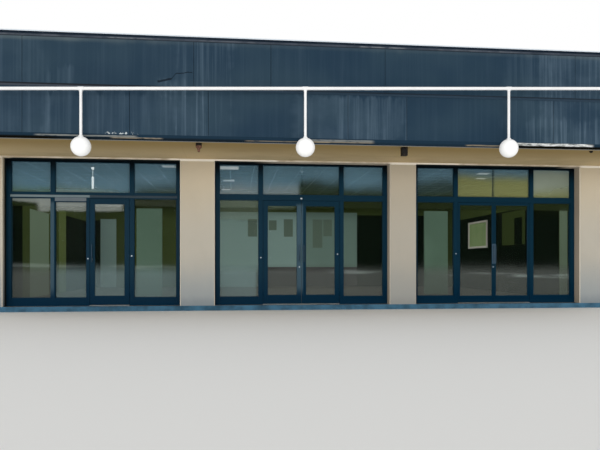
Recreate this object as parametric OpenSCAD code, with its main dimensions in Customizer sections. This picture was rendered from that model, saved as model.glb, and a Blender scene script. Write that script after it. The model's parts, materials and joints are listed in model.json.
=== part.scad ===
// One-storey strip retail building: three glazed shopfront bays between rendered piers,
// under a deep clad fascia that hangs out over the doors. All sizes are in millimetres.
// X runs along the shopfront, Y runs from the street to the back, and Z is up.
// The origin is the middle of the floor slab's underside.

/* [Shell] */
// Depth from the pier faces to the outer face of the back wall
depth = 12000; // [9000:100:16000]
// Thickness of the floor slab, from the ground to the floor
slab_t = 120; // [80:10:200]
// Thickness of the side and back walls
wall_t = 200; // [150:10:300]
// Height of the roof deck's underside above the floor
deck_h = 4450; // [4200:50:4600]
// Thickness of the roof deck
deck_t = 160; // [100:10:220]
// Height of the side and back parapets above the deck
parapet_h = 390; // [200:10:500]
// How far the pilasters stand out from the back wall
pilaster_d = 60; // [30:5:120]
// Height of the suspended ceiling above the floor
ceiling_h = 3395; // [3200:5:3400]
// Thickness of the suspended ceiling
ceiling_t = 20; // [10:5:40]
// Thickness of the metal cap on the side and back walls
cap_t = 40; // [25:5:60]
// How far that cap stands past both faces of its wall
cap_lip = 25; // [10:5:50]

/* [Piers and bays] */
// Width of the two end piers, side wall included
end_pier_w = 850; // [700:10:1200]
// Width of the pier between the left and middle bays
left_pier_w = 810; // [500:10:1200]
// Width of the pier between the middle and right bays
right_pier_w = 660; // [500:10:1200]
// Width of the left bay
left_bay_w = 4000; // [3800:10:4600]
// Width of the middle and right bays
pair_bay_w = 4230; // [4000:10:4800]
// Depth of the piers, front to back
pier_d = 400; // [390:10:600]
// Chamfer on the piers' front edges
pier_chamfer = 14; // [4:1:30]
// Height of the bay openings above the floor
head_h = 3425; // [3405:5:3500]
// Height of the pale trim between the bay heads and the soffit
trim_h = 35; // [20:5:60]
// Thickness of that trim
trim_t = 12; // [6:1:30]

/* [Canopy and fascia] */
// How far the fascia stands out from the pier faces
overhang = 2200; // [1500:50:2800]
// Height of the fascia
fascia_h = 2105; // [1900:5:2400]
// Height of the lower course of cladding
lower_course_h = 1062; // [900:2:1100]
// How far the cladding drops below the soffit
fascia_drop = 10; // [0:2:40]
// Thickness of the cladding panels
panel_t = 20; // [8:1:40]
// Width of the open seams between panels
seam_w = 8; // [4:1:16]
// Thickness of the stud wall behind the cladding
backing_t = 80; // [50:5:150]
// Height of the dark coping along the top of the fascia
coping_h = 60; // [40:5:100]
// Thickness of the coping's metal
coping_t = 6; // [3:1:12]
// How far the coping stands out from the cladding
coping_lip = 16; // [8:1:40]
// Height of the weathered band under the coping
band_h = 52; // [30:2:80]
// How far the band stands out from the cladding
band_proud = 8; // [3:1:15]
// Thickness of the soffit board
soffit_t = 20; // [12:1:40]
// Width of the joists and braces in the canopy
rib_w = 60; // [40:5:100]
// Height of the soffit joists
joist_h = 140; // [80:10:220]
// Reach of the parapet braces along the deck
brace_reach = 620; // [400:20:900]
// Number of joists, and of braces
rib_count = 7; // [4:1:10]

/* [Shopfronts] */
// Distance from the pier faces back to the frames
recess = 250; // [150:10:270]
// Depth of the aluminium frames, front to back
frame_d = 115; // [80:5:120]
// Width of the jambs against the piers
jamb_w = 110; // [80:5:160]
// Width of the full-height mullions
mullion_w = 105; // [80:5:160]
// Width of the post beside the single door
slim_post_w = 80; // [60:5:130]
// Height of the head member
head_member_h = 45; // [30:5:80]
// Height of the sills under the fixed panes
sill_h = 190; // [100:5:250]
// Height of the door openings above the floor
door_h = 2530; // [2200:10:2700]
// Height of the transom bar over the doors
bar_h = 140; // [80:5:180]
// Width of the left bay's outer pane
outer_pane_w = 880; // [600:10:1000]
// Width of the left bay's pane beside the door
inner_pane_w = 705; // [500:5:800]
// Width of the single door's opening
door_w = 920; // [800:5:1000]
// Width of the left pane in the middle and right bays
side_pane_w = 935; // [700:5:1000]
// Width of the opening for a pair of doors
pair_w = 1880; // [1700:10:2000]
// Thickness of the fixed glass
glass_t = 10; // [6:1:24]
// How deep the glass sits in the pockets of its frame
glass_bite = 12; // [6:1:20]
// Clearance around each sheet of glass in its pocket
glass_gap = 0.3; // [0.2:0.1:0.9]
// Hairline joint between frame members
joint_gap = 0.5; // [0.3:0.1:0.9]
// Reach of the door stops into the door openings
stop_w = 20; // [12:1:30]
// Depth of the door stops, front to back
stop_d = 14; // [8:1:24]
// Width of the butt joint in the right bay's middle light
butt_gap = 12; // [6:1:20]
// Height of the door thresholds
threshold_h = 12; // [6:1:20]
// How far the thresholds stand out from the frames
threshold_lip = 20; // [0:5:60]

/* [Doors] */
// Running clearance around every door leaf
leaf_gap = 8; // [7:1:12]
// Thickness of the leaves
leaf_t = 45; // [35:1:60]
// Width of the stiles in the left and middle bays
stile_w = 105; // [80:5:140]
// Width of the stiles in the right bay
slim_stile_w = 45; // [45:5:80]
// Height of the top rails in the left and middle bays
top_rail_h = 120; // [80:5:160]
// Height of the top rails in the right bay
slim_top_rail_h = 55; // [45:5:80]
// Height of the bottom rails in the left and middle bays
bottom_rail_h = 205; // [150:5:260]
// Height of the bottom rails in the right bay
slim_bottom_rail_h = 160; // [120:5:220]
// Radius of the hinge knuckles
knuckle_r = 9; // [7:1:10]
// Height of one hinge knuckle
knuckle_h = 36; // [24:2:60]
// Reach of the hinge plates
hinge_plate_w = 36; // [25:1:42]
// Thickness of the hinge plates
hinge_plate_t = 4; // [3:1:6]
// Running gap between two knuckles
knuckle_gap = 0.3; // [0.2:0.1:0.5]
// Clearance between the knuckles and the face of the frame
knuckle_off = 1; // [0.5:0.5:2]
// Diameter of the pull handles
pull_d = 24; // [16:1:34]
// Diameter of the stems of the pull handles
pull_stem_d = 17; // [12:1:24]
// Length of the pull handles
pull_l = 420; // [250:10:600]
// Distance from the leaf's face to the middle of the pull handle
pull_off = 55; // [35:5:80]
// Height of the middle of the pull handles above the floor
pull_z = 1240; // [900:10:1400]

/* [Light rail] */
// Diameter of the white rail in front of the fascia
rail_d = 64; // [30:2:90]
// Distance from the cladding to the middle of the rail
rail_off = 260; // [200:10:400]
// Height of the rail's middle above the floor
rail_h = 4510; // [4200:10:4600]
// Rise of the rail from the left end to the right end
rail_rise = 460; // [0:10:500]
// Number of brackets that hold the rail
bracket_count = 6; // [3:1:9]
// Distance from the fascia's ends to the outer brackets
bracket_inset = 520; // [300:20:900]
// Diameter of the brackets
bracket_d = 36; // [20:2:60]
// Rake of the brackets, up from the rail to the cladding, in degrees
bracket_rake = 16; // [0:1:25]
// Diameter of the brackets' wall plates
rose_d = 80; // [60:5:160]
// Thickness of the wall plates
rose_t = 10; // [5:1:20]
// Diameter of the drop rods
rod_d = 54; // [20:2:80]
// Height of the spun cup between a rod and its globe
cup_h = 36; // [30:2:80]
// Diameter of that cup's rim
cup_d = 90; // [85:5:160]
// Height of that rim
cup_rim_h = 12; // [6:1:20]
// Diameter of the globes
globe_d = 385; // [250:5:390]
// Height of the middle globe's centre above the floor
globe_h = 3325; // [3200:5:3500]
// Rise of the globes over the rail's whole length
globe_rise = 235; // [0:5:300]
// Width of the lamps and the sensor box under the soffit
lamp_d = 124; // [80:2:200]
// Drop of the left lamp below the soffit
lamp_drop = 180; // [100:10:260]
// Distance of those fittings behind the fascia
lamp_back = 90; // [20:5:300]

/* [Inside] */
// Distance of the free-standing partitions behind the pier faces
partition_y = 4600; // [2000:100:7000]
// Width of those partitions
partition_w = 760; // [500:10:1200]
// Height of those partitions
partition_h = 2680; // [2000:10:3100]
// Thickness of those partitions
partition_t = 110; // [80:10:200]

/* [Hidden] */
$fn = 48;
eps = 0.01;
total_w = 2 * end_pier_w + left_pier_w + right_pier_w + left_bay_w + 2 * pair_bay_w;
left_x = -total_w / 2;
right_x = total_w / 2;
front_y = -depth / 2;
back_y = depth / 2;
floor_z = slab_t;
head_z = floor_z + head_h;
soffit_z = head_z + trim_h;
deck_z = floor_z + deck_h;
deck_top = deck_z + deck_t;
wall_top = deck_top + parapet_h;
wall_back_y = back_y - pilaster_d;
back_in_y = wall_back_y - wall_t;
wall_in_x = right_x - wall_t;

// Left edge of each bay and its width
bay_w = [left_bay_w, pair_bay_w, pair_bay_w];
bay_x = [
    left_x + end_pier_w,
    left_x + end_pier_w + left_bay_w + left_pier_w,
    right_x - end_pier_w - pair_bay_w
];

// Left and right edge of each pier
pier_spans = [
    [left_x, bay_x[0]], [bay_x[0] + bay_w[0], bay_x[1]],
    [bay_x[1] + bay_w[1], bay_x[2]], [bay_x[2] + bay_w[2], right_x]
];

// Faces of the fascia, from the street inwards
clad_y = front_y - overhang;
backing_y = clad_y + panel_t;
canopy_y = backing_y + backing_t;
fascia_z = soffit_z - fascia_drop;
fascia_top = fascia_z + fascia_h;
coping_z = fascia_top - coping_h;
band_z = coping_z - band_h;
upper_z = fascia_z + lower_course_h + seam_w;
canopy_x = right_x - panel_t - backing_t;
return_y = canopy_y + coping_t + joint_gap;

// Seams of the two courses, measured from the fascia's left end, chosen by eye
upper_seams = [2000, 5310, 6860, 9230, 13390];
lower_seams = [2000, 4050, 5600, 8450, 9690, 12900];

// The frames stand in the bays behind the pier faces
frame_y = front_y + recess;
glass_y = frame_y + (frame_d - glass_t) / 2;
sill_z = floor_z + sill_h;
bar_z = floor_z + door_h;
light_z = bar_z + bar_h;
light_top = head_z - head_member_h;

// Posts of the left bay, and of the bays with a pair of doors, from the bay's left edge
left_door_x = jamb_w + outer_pane_w + mullion_w + inner_pane_w + slim_post_w;
left_posts = [
    [0, jamb_w], [jamb_w + outer_pane_w, mullion_w],
    [left_door_x + door_w, mullion_w], [left_bay_w - jamb_w, jamb_w]
];
pair_door_x = jamb_w + side_pane_w + mullion_w;
pair_posts = [
    [0, jamb_w], [jamb_w + side_pane_w, mullion_w],
    [pair_door_x + pair_w, mullion_w], [pair_bay_w - jamb_w, jamb_w]
];
left_inner_pane_x = jamb_w + outer_pane_w + mullion_w;
slim_post_x = left_door_x - slim_post_w;

// Door leaves: left edge of the opening, width of the leaf
pair_leaf_w = (pair_w - 3 * leaf_gap) / 2;
single_leaf_w = door_w - 2 * leaf_gap;
leaf_z = floor_z + threshold_h + leaf_gap;
leaf_h = bar_z - leaf_gap - leaf_z;
hinge_y = frame_y - knuckle_r - knuckle_off;
hinge_h = 3 * knuckle_h + 2 * knuckle_gap;
hinge_margin = 180;
hinge_levels = [
    leaf_z + hinge_margin,
    leaf_z + (leaf_h - hinge_h) / 2,
    leaf_z + leaf_h - hinge_margin - hinge_h
];

// Globe positions along the building, and positions under the soffit, chosen by eye
globe_x = [-4640, -280, 3970];
lamp_x = -2420;
sensor_x = 1890;
dome_x = 6090;
// Outline of the spun lamp, as shares of its width and its drop
lamp_outline = [[0, 0], [0.17, 0], [0.25, 0.35], [0.5, 0.5], [0.5, 1], [0, 1]];
rail_y = clad_y - rail_off;
rail_slope = rail_rise / total_w;
rail_end = 60;

// Left edges of the two partitions
partition_x = [-4670, 4400];

wall_paint = "#b5a48e";
clad_paint = "#33454f";
frame_paint = "#12344d";
tint = [0.45, 0.6, 0.6, 0.4];

// A box between two corners
module block(low, high) {
    translate(low) cube(high - low);
}

// Floor slab under the whole building
module floor_slab() {
    color("#8d8f8d") block([left_x, front_y, 0], [right_x, back_y, floor_z]);
}

// One pier, with its two front edges chamfered
module pier(span) {
    x0 = span[0];
    x1 = span[1];
    c = pier_chamfer;
    color(wall_paint)
        translate([0, 0, floor_z])
            linear_extrude(head_h)
                polygon([
                    [x0 + c, front_y], [x1 - c, front_y], [x1, front_y + c],
                    [x1, front_y + pier_d], [x0, front_y + pier_d], [x0, front_y + c]
                ]);
}

module left_end_pier() {
    pier(pier_spans[0]);
}

module left_pier() {
    pier(pier_spans[1]);
}

module right_pier() {
    pier(pier_spans[2]);
}

module right_end_pier() {
    pier(pier_spans[3]);
}

// Beam over the bays, on the piers and under the deck
module front_beam() {
    color(wall_paint) block([left_x, front_y, head_z], [right_x, front_y + pier_d, deck_z]);
}

// Side wall: behind the end pier below the deck, and over the beam's end above it
module side_wall(x0) {
    color(wall_paint)
        translate([x0, 0, 0])
            rotate([90, 0, 90])
                linear_extrude(wall_t)
                    polygon([
                        [front_y + pier_d, floor_z], [wall_back_y, floor_z], [wall_back_y, wall_top],
                        [front_y, wall_top], [front_y, deck_z], [front_y + pier_d, deck_z]
                    ]);
}

module left_wall() {
    side_wall(left_x);
}

module right_wall() {
    side_wall(wall_in_x);
}

// Back wall, with a pilaster behind each pier that ends at the height of the soffit
module back_wall() {
    color(wall_paint)
        union() {
            block([-wall_in_x, back_in_y, floor_z], [wall_in_x, wall_back_y, wall_top]);
            for (x = pier_spans)
                block([x[0], wall_back_y, floor_z], [x[1], back_y, soffit_z]);
        }
}

// Deck between the walls, running on over the canopy to the fascia's stud wall
module roof_deck() {
    color("#77746d")
        union() {
            block([-wall_in_x, front_y, deck_z], [wall_in_x, back_in_y, deck_top]);
            block([-canopy_x, canopy_y, deck_z], [canopy_x, front_y, deck_top]);
        }
}

// Metal caps on the side and back walls, with open joints at the corners
module wall_caps() {
    cap_x = wall_in_x - cap_lip;
    cap_y = wall_back_y + cap_lip;
    top = wall_top + cap_t;
    color("#8f9496") {
        block([left_x - cap_lip, front_y, wall_top], [-cap_x, cap_y, top]);
        block([cap_x, front_y, wall_top], [right_x + cap_lip, cap_y, top]);
        block([-cap_x + seam_w, back_in_y - cap_lip, wall_top], [cap_x - seam_w, cap_y, top]);
    }
}

module ceiling() {
    low = floor_z + ceiling_h;
    color("#d9d8cf")
        block([-wall_in_x, front_y + pier_d, low], [wall_in_x, back_in_y, low + ceiling_t]);
}

module partitions() {
    color("#c3cfc0")
        for (x = partition_x)
            translate([x, front_y + partition_y, floor_z])
                cube([partition_w, partition_t, partition_h]);
}

// Pale strip along the wall, between the bay heads and the soffit
module wall_trim() {
    color("#efe3c4") block([-canopy_x, front_y - trim_t, head_z], [canopy_x, front_y, soffit_z]);
}

module soffit() {
    color("#8e7a56")
        block([-canopy_x, canopy_y, soffit_z], [canopy_x, front_y, soffit_z + soffit_t]);
}

// Joists that carry the soffit, and braces behind the fascia above the deck
module canopy_frame() {
    joist_z = soffit_z + soffit_t;
    pitch = (2 * wall_in_x - rib_w) / (rib_count - 1);
    color("#7d8184")
        for (i = [0 : rib_count - 1])
            translate([-wall_in_x + i * pitch, 0, 0]) {
                block([0, canopy_y, joist_z], [rib_w, front_y, joist_z + joist_h]);
                rotate([90, 0, 90])
                    linear_extrude(rib_w)
                        polygon([
                            [canopy_y, deck_top], [canopy_y + brace_reach, deck_top], [canopy_y, coping_z]
                        ]);
            }
}

// Stud walls behind the cladding, along the front and down the two ends
module fascia_backing() {
    top = fascia_top - coping_t;
    color("#5d6163") {
        block([left_x + panel_t, backing_y, fascia_z], [right_x - panel_t, canopy_y, top]);
        for (x = [left_x + panel_t, canopy_x])
            block([x, return_y, fascia_z], [x + backing_t, front_y, top]);
    }
}

// One course of panels between z0 and z1, cut at the seams
module course(z0, z1, seams) {
    edges = concat([0], seams, [total_w]);
    last = len(seams);
    color(clad_paint)
        for (i = [0 : last])
            block(
                [left_x + edges[i] + (i == 0 ? 0 : seam_w / 2), clad_y, z0],
                [left_x + edges[i + 1] - (i == last ? 0 : seam_w / 2), backing_y, z1]
            );
}

module fascia_upper() {
    course(upper_z, band_z, upper_seams);
}

module fascia_lower() {
    course(fascia_z, upper_z - seam_w, lower_seams);
}

// Both courses of cladding on the two ends of the canopy
module fascia_returns() {
    color(clad_paint)
        for (x = [left_x, right_x - panel_t], z = [[fascia_z, upper_z - seam_w], [upper_z, band_z]])
            block([x, backing_y, z[0]], [x + panel_t, front_y, z[1]]);
}

// Weathered strip under the coping, on the front and the two ends
module fascia_band() {
    color("#6c665d") {
        block(
            [left_x - band_proud, clad_y - band_proud, band_z],
            [right_x + band_proud, backing_y, coping_z]
        );
        for (side = [-1, 1])
            mirror([side < 0 ? 1 : 0, 0, 0])
                block(
                    [right_x - panel_t, backing_y + joint_gap, band_z],
                    [right_x + band_proud, front_y, coping_z]
                );
    }
}

// Profile of the folded coping: top, outer face and inner face over a wall from 0 to w
module coping_profile(w) {
    inner_w = w + coping_lip - coping_t;
    difference() {
        translate([-coping_lip, 0]) square([inner_w + 2 * coping_t, coping_h]);
        translate([coping_t - coping_lip, -eps]) square([inner_w, coping_h - coping_t + eps]);
    }
}

// Folded metal cap over the stud walls and the cladding, in three lengths
module fascia_coping() {
    w = panel_t + backing_t;
    color("#2b343b") {
        translate([right_x + coping_lip, clad_y, coping_z])
            rotate([90, 0, -90])
                mirror([1, 0, 0])
                    linear_extrude(total_w + 2 * coping_lip) coping_profile(w);
        for (side = [-1, 1])
            mirror([side < 0 ? 1 : 0, 0, 0])
                translate([right_x, front_y, coping_z])
                    rotate([90, 0, 0])
                        mirror([1, 0, 0])
                            linear_extrude(front_y - return_y) coping_profile(w);
    }
}

// One upright of a frame, full height unless a top is given
module post(x, w, top = head_z) {
    block([x, frame_y, floor_z], [x + w, frame_y + frame_d, top]);
}

// One rail of a frame between two posts
module frame_rail(x0, x1, z0, z1) {
    block([x0 + joint_gap, frame_y, z0], [x1 - joint_gap, frame_y + frame_d, z1]);
}

// Frame of one bay: posts, head, transom bar and the sills under the two outer panes
module bay_frame(x, posts) {
    last = len(posts) - 2;
    for (p = posts) post(x + p[0], p[1]);
    for (i = [0 : last]) {
        x0 = x + posts[i][0] + posts[i][1];
        x1 = x + posts[i + 1][0];
        frame_rail(x0, x1, light_top, head_z);
        frame_rail(x0, x1, bar_z, light_z);
        if (i != 1) frame_rail(x0, x1, floor_z, sill_z);
    }
}

// Stops behind the leaves, on both sides and the head of a door opening
module door_stops(x, w) {
    y = frame_y + leaf_t + leaf_gap;
    low = floor_z + threshold_h + joint_gap;
    high = bar_z - joint_gap;
    for (x0 = [x + joint_gap, x + w - joint_gap - stop_w])
        block([x0, y, low], [x0 + stop_w, y + stop_d, high]);
    block(
        [x + stop_w + 2 * joint_gap, y, high - stop_w],
        [x + w - stop_w - 2 * joint_gap, y + stop_d, high]
    );
}

// Frame knuckles and plates of one hinge line, mirrored with side -1 for a right-hand hinge
module frame_hinges(x, side) {
    for (z = hinge_levels, level = [0, 2])
        translate([x, hinge_y, z + level * (knuckle_h + knuckle_gap)])
            hinge_half(-side);
}

// One knuckle with its plate, reaching along X in the given direction
module hinge_half(side) {
    plate_y = knuckle_r + knuckle_off - hinge_plate_t;
    root = knuckle_r / 3;
    cylinder(h = knuckle_h, r = knuckle_r);
    mirror([side < 0 ? 1 : 0, 0, 0])
        translate([root, plate_y, 0])
            cube([hinge_plate_w - root, hinge_plate_t, knuckle_h]);
}

module frame_left() {
    x = bay_x[0];
    color(frame_paint) {
        difference() {
            union() {
                bay_frame(x, left_posts);
                post(x + slim_post_x, slim_post_w, bar_z - joint_gap);
                frame_rail(x + left_inner_pane_x, x + slim_post_x, floor_z, sill_z);
            }
            left_bay_glass(glass_gap);
        }
        door_stops(x + left_door_x, door_w);
        frame_hinges(hinge_left, -1);
    }
}

// Frame of a bay that holds a pair of doors
module pair_frame(i) {
    x = bay_x[i];
    color(frame_paint) {
        difference() {
            bay_frame(x, pair_posts);
            bay_glass(x, pair_posts, glass_gap);
        }
        door_stops(x + pair_door_x, pair_w);
        frame_hinges(pair_hinge_a(i), 1);
        frame_hinges(pair_hinge_b(i), -1);
    }
}

module frame_middle() {
    pair_frame(1);
}

module frame_right() {
    pair_frame(2);
}

// One sheet of glass behind an opening between four members, or the pocket for it
module pane(x0, x1, z0, z1, grow) {
    bite = glass_bite + grow;
    block(
        [x0 - bite, glass_y - grow, z0 - bite],
        [x1 + bite, glass_y + glass_t + grow, z1 + bite]
    );
}

// Transom lights and outer panes of one bay; the middle light may be cut by a butt joint
module bay_glass(x, posts, grow, butt = 0) {
    for (i = [0 : len(posts) - 2]) {
        x0 = x + posts[i][0] + posts[i][1];
        x1 = x + posts[i + 1][0];
        half = (x1 - x0 - butt) / 2 - glass_bite;
        if (butt > 0 && i == 1) {
            pane(x0, x0 + half, light_z, light_top, grow);
            pane(x1 - half, x1, light_z, light_top, grow);
        } else {
            pane(x0, x1, light_z, light_top, grow);
        }
        if (i != 1) pane(x0, x1, sill_z, bar_z, grow);
    }
}

// All panes of the left bay, the one beside the door included
module left_bay_glass(grow) {
    x = bay_x[0];
    bay_glass(x, left_posts, grow);
    pane(x + left_inner_pane_x, x + slim_post_x, sill_z, bar_z, grow);
}

module shopfront_glass() {
    color(tint) {
        left_bay_glass(0);
        bay_glass(bay_x[1], pair_posts, 0);
        bay_glass(bay_x[2], pair_posts, 0, butt_gap);
    }
}

module threshold(x, w) {
    block(
        [x + joint_gap, frame_y - threshold_lip, floor_z],
        [x + w - joint_gap, frame_y + frame_d, floor_z + threshold_h]
    );
}

module thresholds() {
    color("#aeb2b3") {
        threshold(bay_x[0] + left_door_x, door_w);
        for (i = [1, 2]) threshold(bay_x[i] + pair_door_x, pair_w);
    }
}

// The rail itself, grown by a clearance where it is cut from what it carries
module rail_bar(grow = 0) {
    rise = rail_rise * (1 - 2 * rail_end / total_w);
    length = norm([total_w - 2 * rail_end, rise]);
    translate([0, rail_y, floor_z + rail_h])
        rotate([0, 90 - atan(rail_slope), 0])
            cylinder(h = length, d = rail_d + 2 * grow, center = true);
}

// Bracket at a place along the building: wall plate, and a raked stem down to the rail
module rail_bracket(x) {
    rail_z = floor_z + rail_h + x * rail_slope;
    plate_z = rail_z + rail_off * tan(bracket_rake);
    stem_end_y = clad_y - rose_t - joint_gap;
    translate([x, clad_y, plate_z])
        rotate([90, 0, 0])
            cylinder(h = rose_t, d = rose_d);
    difference() {
        translate([x, rail_y, rail_z])
            rotate([bracket_rake - 90, 0, 0])
                cylinder(h = rail_off / cos(bracket_rake), d = bracket_d);
        block(
            [x - bracket_d, stem_end_y, plate_z - rose_d],
            [x + bracket_d, clad_y + rose_d, plate_z + rose_d]
        );
    }
}

// Rod from the rail down to a globe, ending in a spun cup
module drop_rod(x) {
    low = globe_z(x) + globe_seat() + joint_gap;
    length = floor_z + rail_h + x * rail_slope - low;
    translate([x, rail_y, low])
        rotate_extrude()
            polygon([
                [0, 0], [cup_d / 2, 0], [cup_d / 2, cup_rim_h],
                [rod_d / 2, cup_h], [rod_d / 2, length], [0, length]
            ]);
}

// White rail on brackets in front of the fascia, with a rod down to each globe
module light_rail() {
    spread = total_w / 2 - bracket_inset;
    pitch = 2 * spread / (bracket_count - 1);
    color("white") {
        rail_bar();
        difference() {
            union() {
                for (i = [0 : bracket_count - 1]) rail_bracket(i * pitch - spread);
                for (x = globe_x) drop_rod(x);
            }
            rail_bar(joint_gap);
        }
    }
}

// Height above a globe's centre at which it is cut flat for its cup
function globe_seat() = sqrt(globe_d * globe_d / 4 - cup_d * cup_d / 4);

// Height of a globe's centre at a place along the building
function globe_z(x) = floor_z + globe_h + x * globe_rise / total_w;

module globes() {
    color("#fbfaf5")
        for (x = globe_x)
            translate([x, rail_y, globe_z(x)])
                globe();
}

// Opal globe, cut flat where it meets its cup
module globe() {
    r = globe_d / 2;
    rotate_extrude($fn = 64)
        intersection() {
            circle(r);
            translate([0, -r]) square([r, r + globe_seat()]);
        }
}

// Spun lamp at the left, sensor box in the middle and small dome at the right
module soffit_lamps() {
    y = canopy_y + lamp_back + lamp_d / 2;
    color("#2a231d") {
        translate([lamp_x, y, soffit_z - lamp_drop])
            rotate_extrude()
                polygon([for (p = lamp_outline) [p[0] * lamp_d, p[1] * lamp_drop]]);
        translate([sensor_x - lamp_d / 2, y - lamp_d / 2, soffit_z - lamp_drop])
            cube([lamp_d, lamp_d, lamp_drop]);
        translate([dome_x, y, soffit_z])
            rotate_extrude()
                intersection() {
                    circle(lamp_d / 3);
                    translate([0, -lamp_d]) square(lamp_d);
                }
    }
}

// Stiles, rails and hinge knuckles of one leaf, drawn with its hinge edge at the left.
// hinge_x is the hinge's axis, and side -1 mirrors the leaf for a right-hand hinge.
module leaf(hinge_x, side, w, stile, top, bottom) {
    edge = leaf_gap / 2;
    leaf_top = leaf_z + leaf_h;
    color(frame_paint)
        translate([hinge_x, 0, 0])
            mirror([side < 0 ? 1 : 0, 0, 0]) {
                difference() {
                    union() {
                        for (x = [edge, edge + w - stile])
                            block([x, frame_y, leaf_z], [x + stile, frame_y + leaf_t, leaf_top]);
                        for (z = [[leaf_z, leaf_z + bottom], [leaf_top - top, leaf_top]])
                            block(
                                [edge + stile + joint_gap, frame_y, z[0]],
                                [edge + w - stile - joint_gap, frame_y + leaf_t, z[1]]
                            );
                    }
                    leaf_pane(w, stile, top, bottom, glass_gap);
                }
                for (z = hinge_levels)
                    translate([0, hinge_y, z + knuckle_h + knuckle_gap]) hinge_half(1);
            }
}

// Sheet of glass in a leaf, from its hinge axis, or the pocket for it
module leaf_pane(w, stile, top, bottom, grow) {
    bite = glass_bite + grow;
    x = leaf_gap / 2 + stile - bite;
    y = frame_y + (leaf_t - glass_t) / 2;
    block(
        [x, y - grow, leaf_z + bottom - bite],
        [leaf_gap + w - x, y + glass_t + grow, leaf_z + leaf_h - top + bite]
    );
}

module leaf_glass(hinge_x, side, w, stile, top, bottom) {
    color(tint)
        translate([hinge_x, 0, 0])
            mirror([side < 0 ? 1 : 0, 0, 0]) leaf_pane(w, stile, top, bottom, 0);
}

// Upright pull handle on the free stile, on two short stems
module leaf_pull(hinge_x, side, w, stile) {
    x = leaf_gap / 2 + w - stile / 2;
    z = floor_z + pull_z;
    color("#6f7a82")
        translate([hinge_x, frame_y, 0])
            mirror([side < 0 ? 1 : 0, 0, 0])
                translate([x, 0, 0])
                    union() {
                        translate([0, -pull_off, z - pull_l / 2]) cylinder(h = pull_l, d = pull_d);
                        for (dz = [-pull_l / 2 + pull_d, pull_l / 2 - pull_d])
                            translate([0, 0, z + dz])
                                rotate([90, 0, 0]) cylinder(h = pull_off, d = pull_stem_d);
                    }
}

// Hinge axes of the five leaves
hinge_left = bay_x[0] + left_door_x + door_w - leaf_gap / 2;
function pair_hinge_a(i) = bay_x[i] + pair_door_x + leaf_gap / 2;
function pair_hinge_b(i) = bay_x[i] + pair_door_x + pair_w - leaf_gap / 2;

module door_left() {
    leaf(hinge_left, -1, single_leaf_w, stile_w, top_rail_h, bottom_rail_h);
}

module door_left_glass() {
    leaf_glass(hinge_left, -1, single_leaf_w, stile_w, top_rail_h, bottom_rail_h);
}

module door_left_pull() {
    leaf_pull(hinge_left, -1, single_leaf_w, stile_w);
}

module door_middle_a() {
    leaf(pair_hinge_a(1), 1, pair_leaf_w, stile_w, top_rail_h, bottom_rail_h);
}

module door_middle_a_glass() {
    leaf_glass(pair_hinge_a(1), 1, pair_leaf_w, stile_w, top_rail_h, bottom_rail_h);
}

module door_middle_a_pull() {
    leaf_pull(pair_hinge_a(1), 1, pair_leaf_w, stile_w);
}

module door_middle_b() {
    leaf(pair_hinge_b(1), -1, pair_leaf_w, stile_w, top_rail_h, bottom_rail_h);
}

module door_middle_b_glass() {
    leaf_glass(pair_hinge_b(1), -1, pair_leaf_w, stile_w, top_rail_h, bottom_rail_h);
}

module door_middle_b_pull() {
    leaf_pull(pair_hinge_b(1), -1, pair_leaf_w, stile_w);
}

module door_right_a() {
    leaf(pair_hinge_a(2), 1, pair_leaf_w, slim_stile_w, slim_top_rail_h, slim_bottom_rail_h);
}

module door_right_a_glass() {
    leaf_glass(pair_hinge_a(2), 1, pair_leaf_w, slim_stile_w, slim_top_rail_h, slim_bottom_rail_h);
}

module door_right_a_pull() {
    leaf_pull(pair_hinge_a(2), 1, pair_leaf_w, slim_stile_w);
}

module door_right_b() {
    leaf(pair_hinge_b(2), -1, pair_leaf_w, slim_stile_w, slim_top_rail_h, slim_bottom_rail_h);
}

module door_right_b_glass() {
    leaf_glass(pair_hinge_b(2), -1, pair_leaf_w, slim_stile_w, slim_top_rail_h, slim_bottom_rail_h);
}

module door_right_b_pull() {
    leaf_pull(pair_hinge_b(2), -1, pair_leaf_w, slim_stile_w);
}

floor_slab();
left_end_pier();
left_pier();
right_pier();
right_end_pier();
front_beam();
left_wall();
right_wall();
back_wall();
roof_deck();
wall_caps();
ceiling();
partitions();
wall_trim();
soffit();
canopy_frame();
fascia_backing();
fascia_upper();
fascia_lower();
fascia_returns();
fascia_band();
fascia_coping();
frame_left();
frame_middle();
frame_right();
shopfront_glass();
thresholds();
light_rail();
globes();
soffit_lamps();
door_left();
door_left_glass();
door_left_pull();
door_middle_a();
door_middle_a_glass();
door_middle_a_pull();
door_middle_b();
door_middle_b_glass();
door_middle_b_pull();
door_right_a();
door_right_a_glass();
door_right_a_pull();
door_right_b();
door_right_b_glass();
door_right_b_pull();
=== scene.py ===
import json
import math

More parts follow.
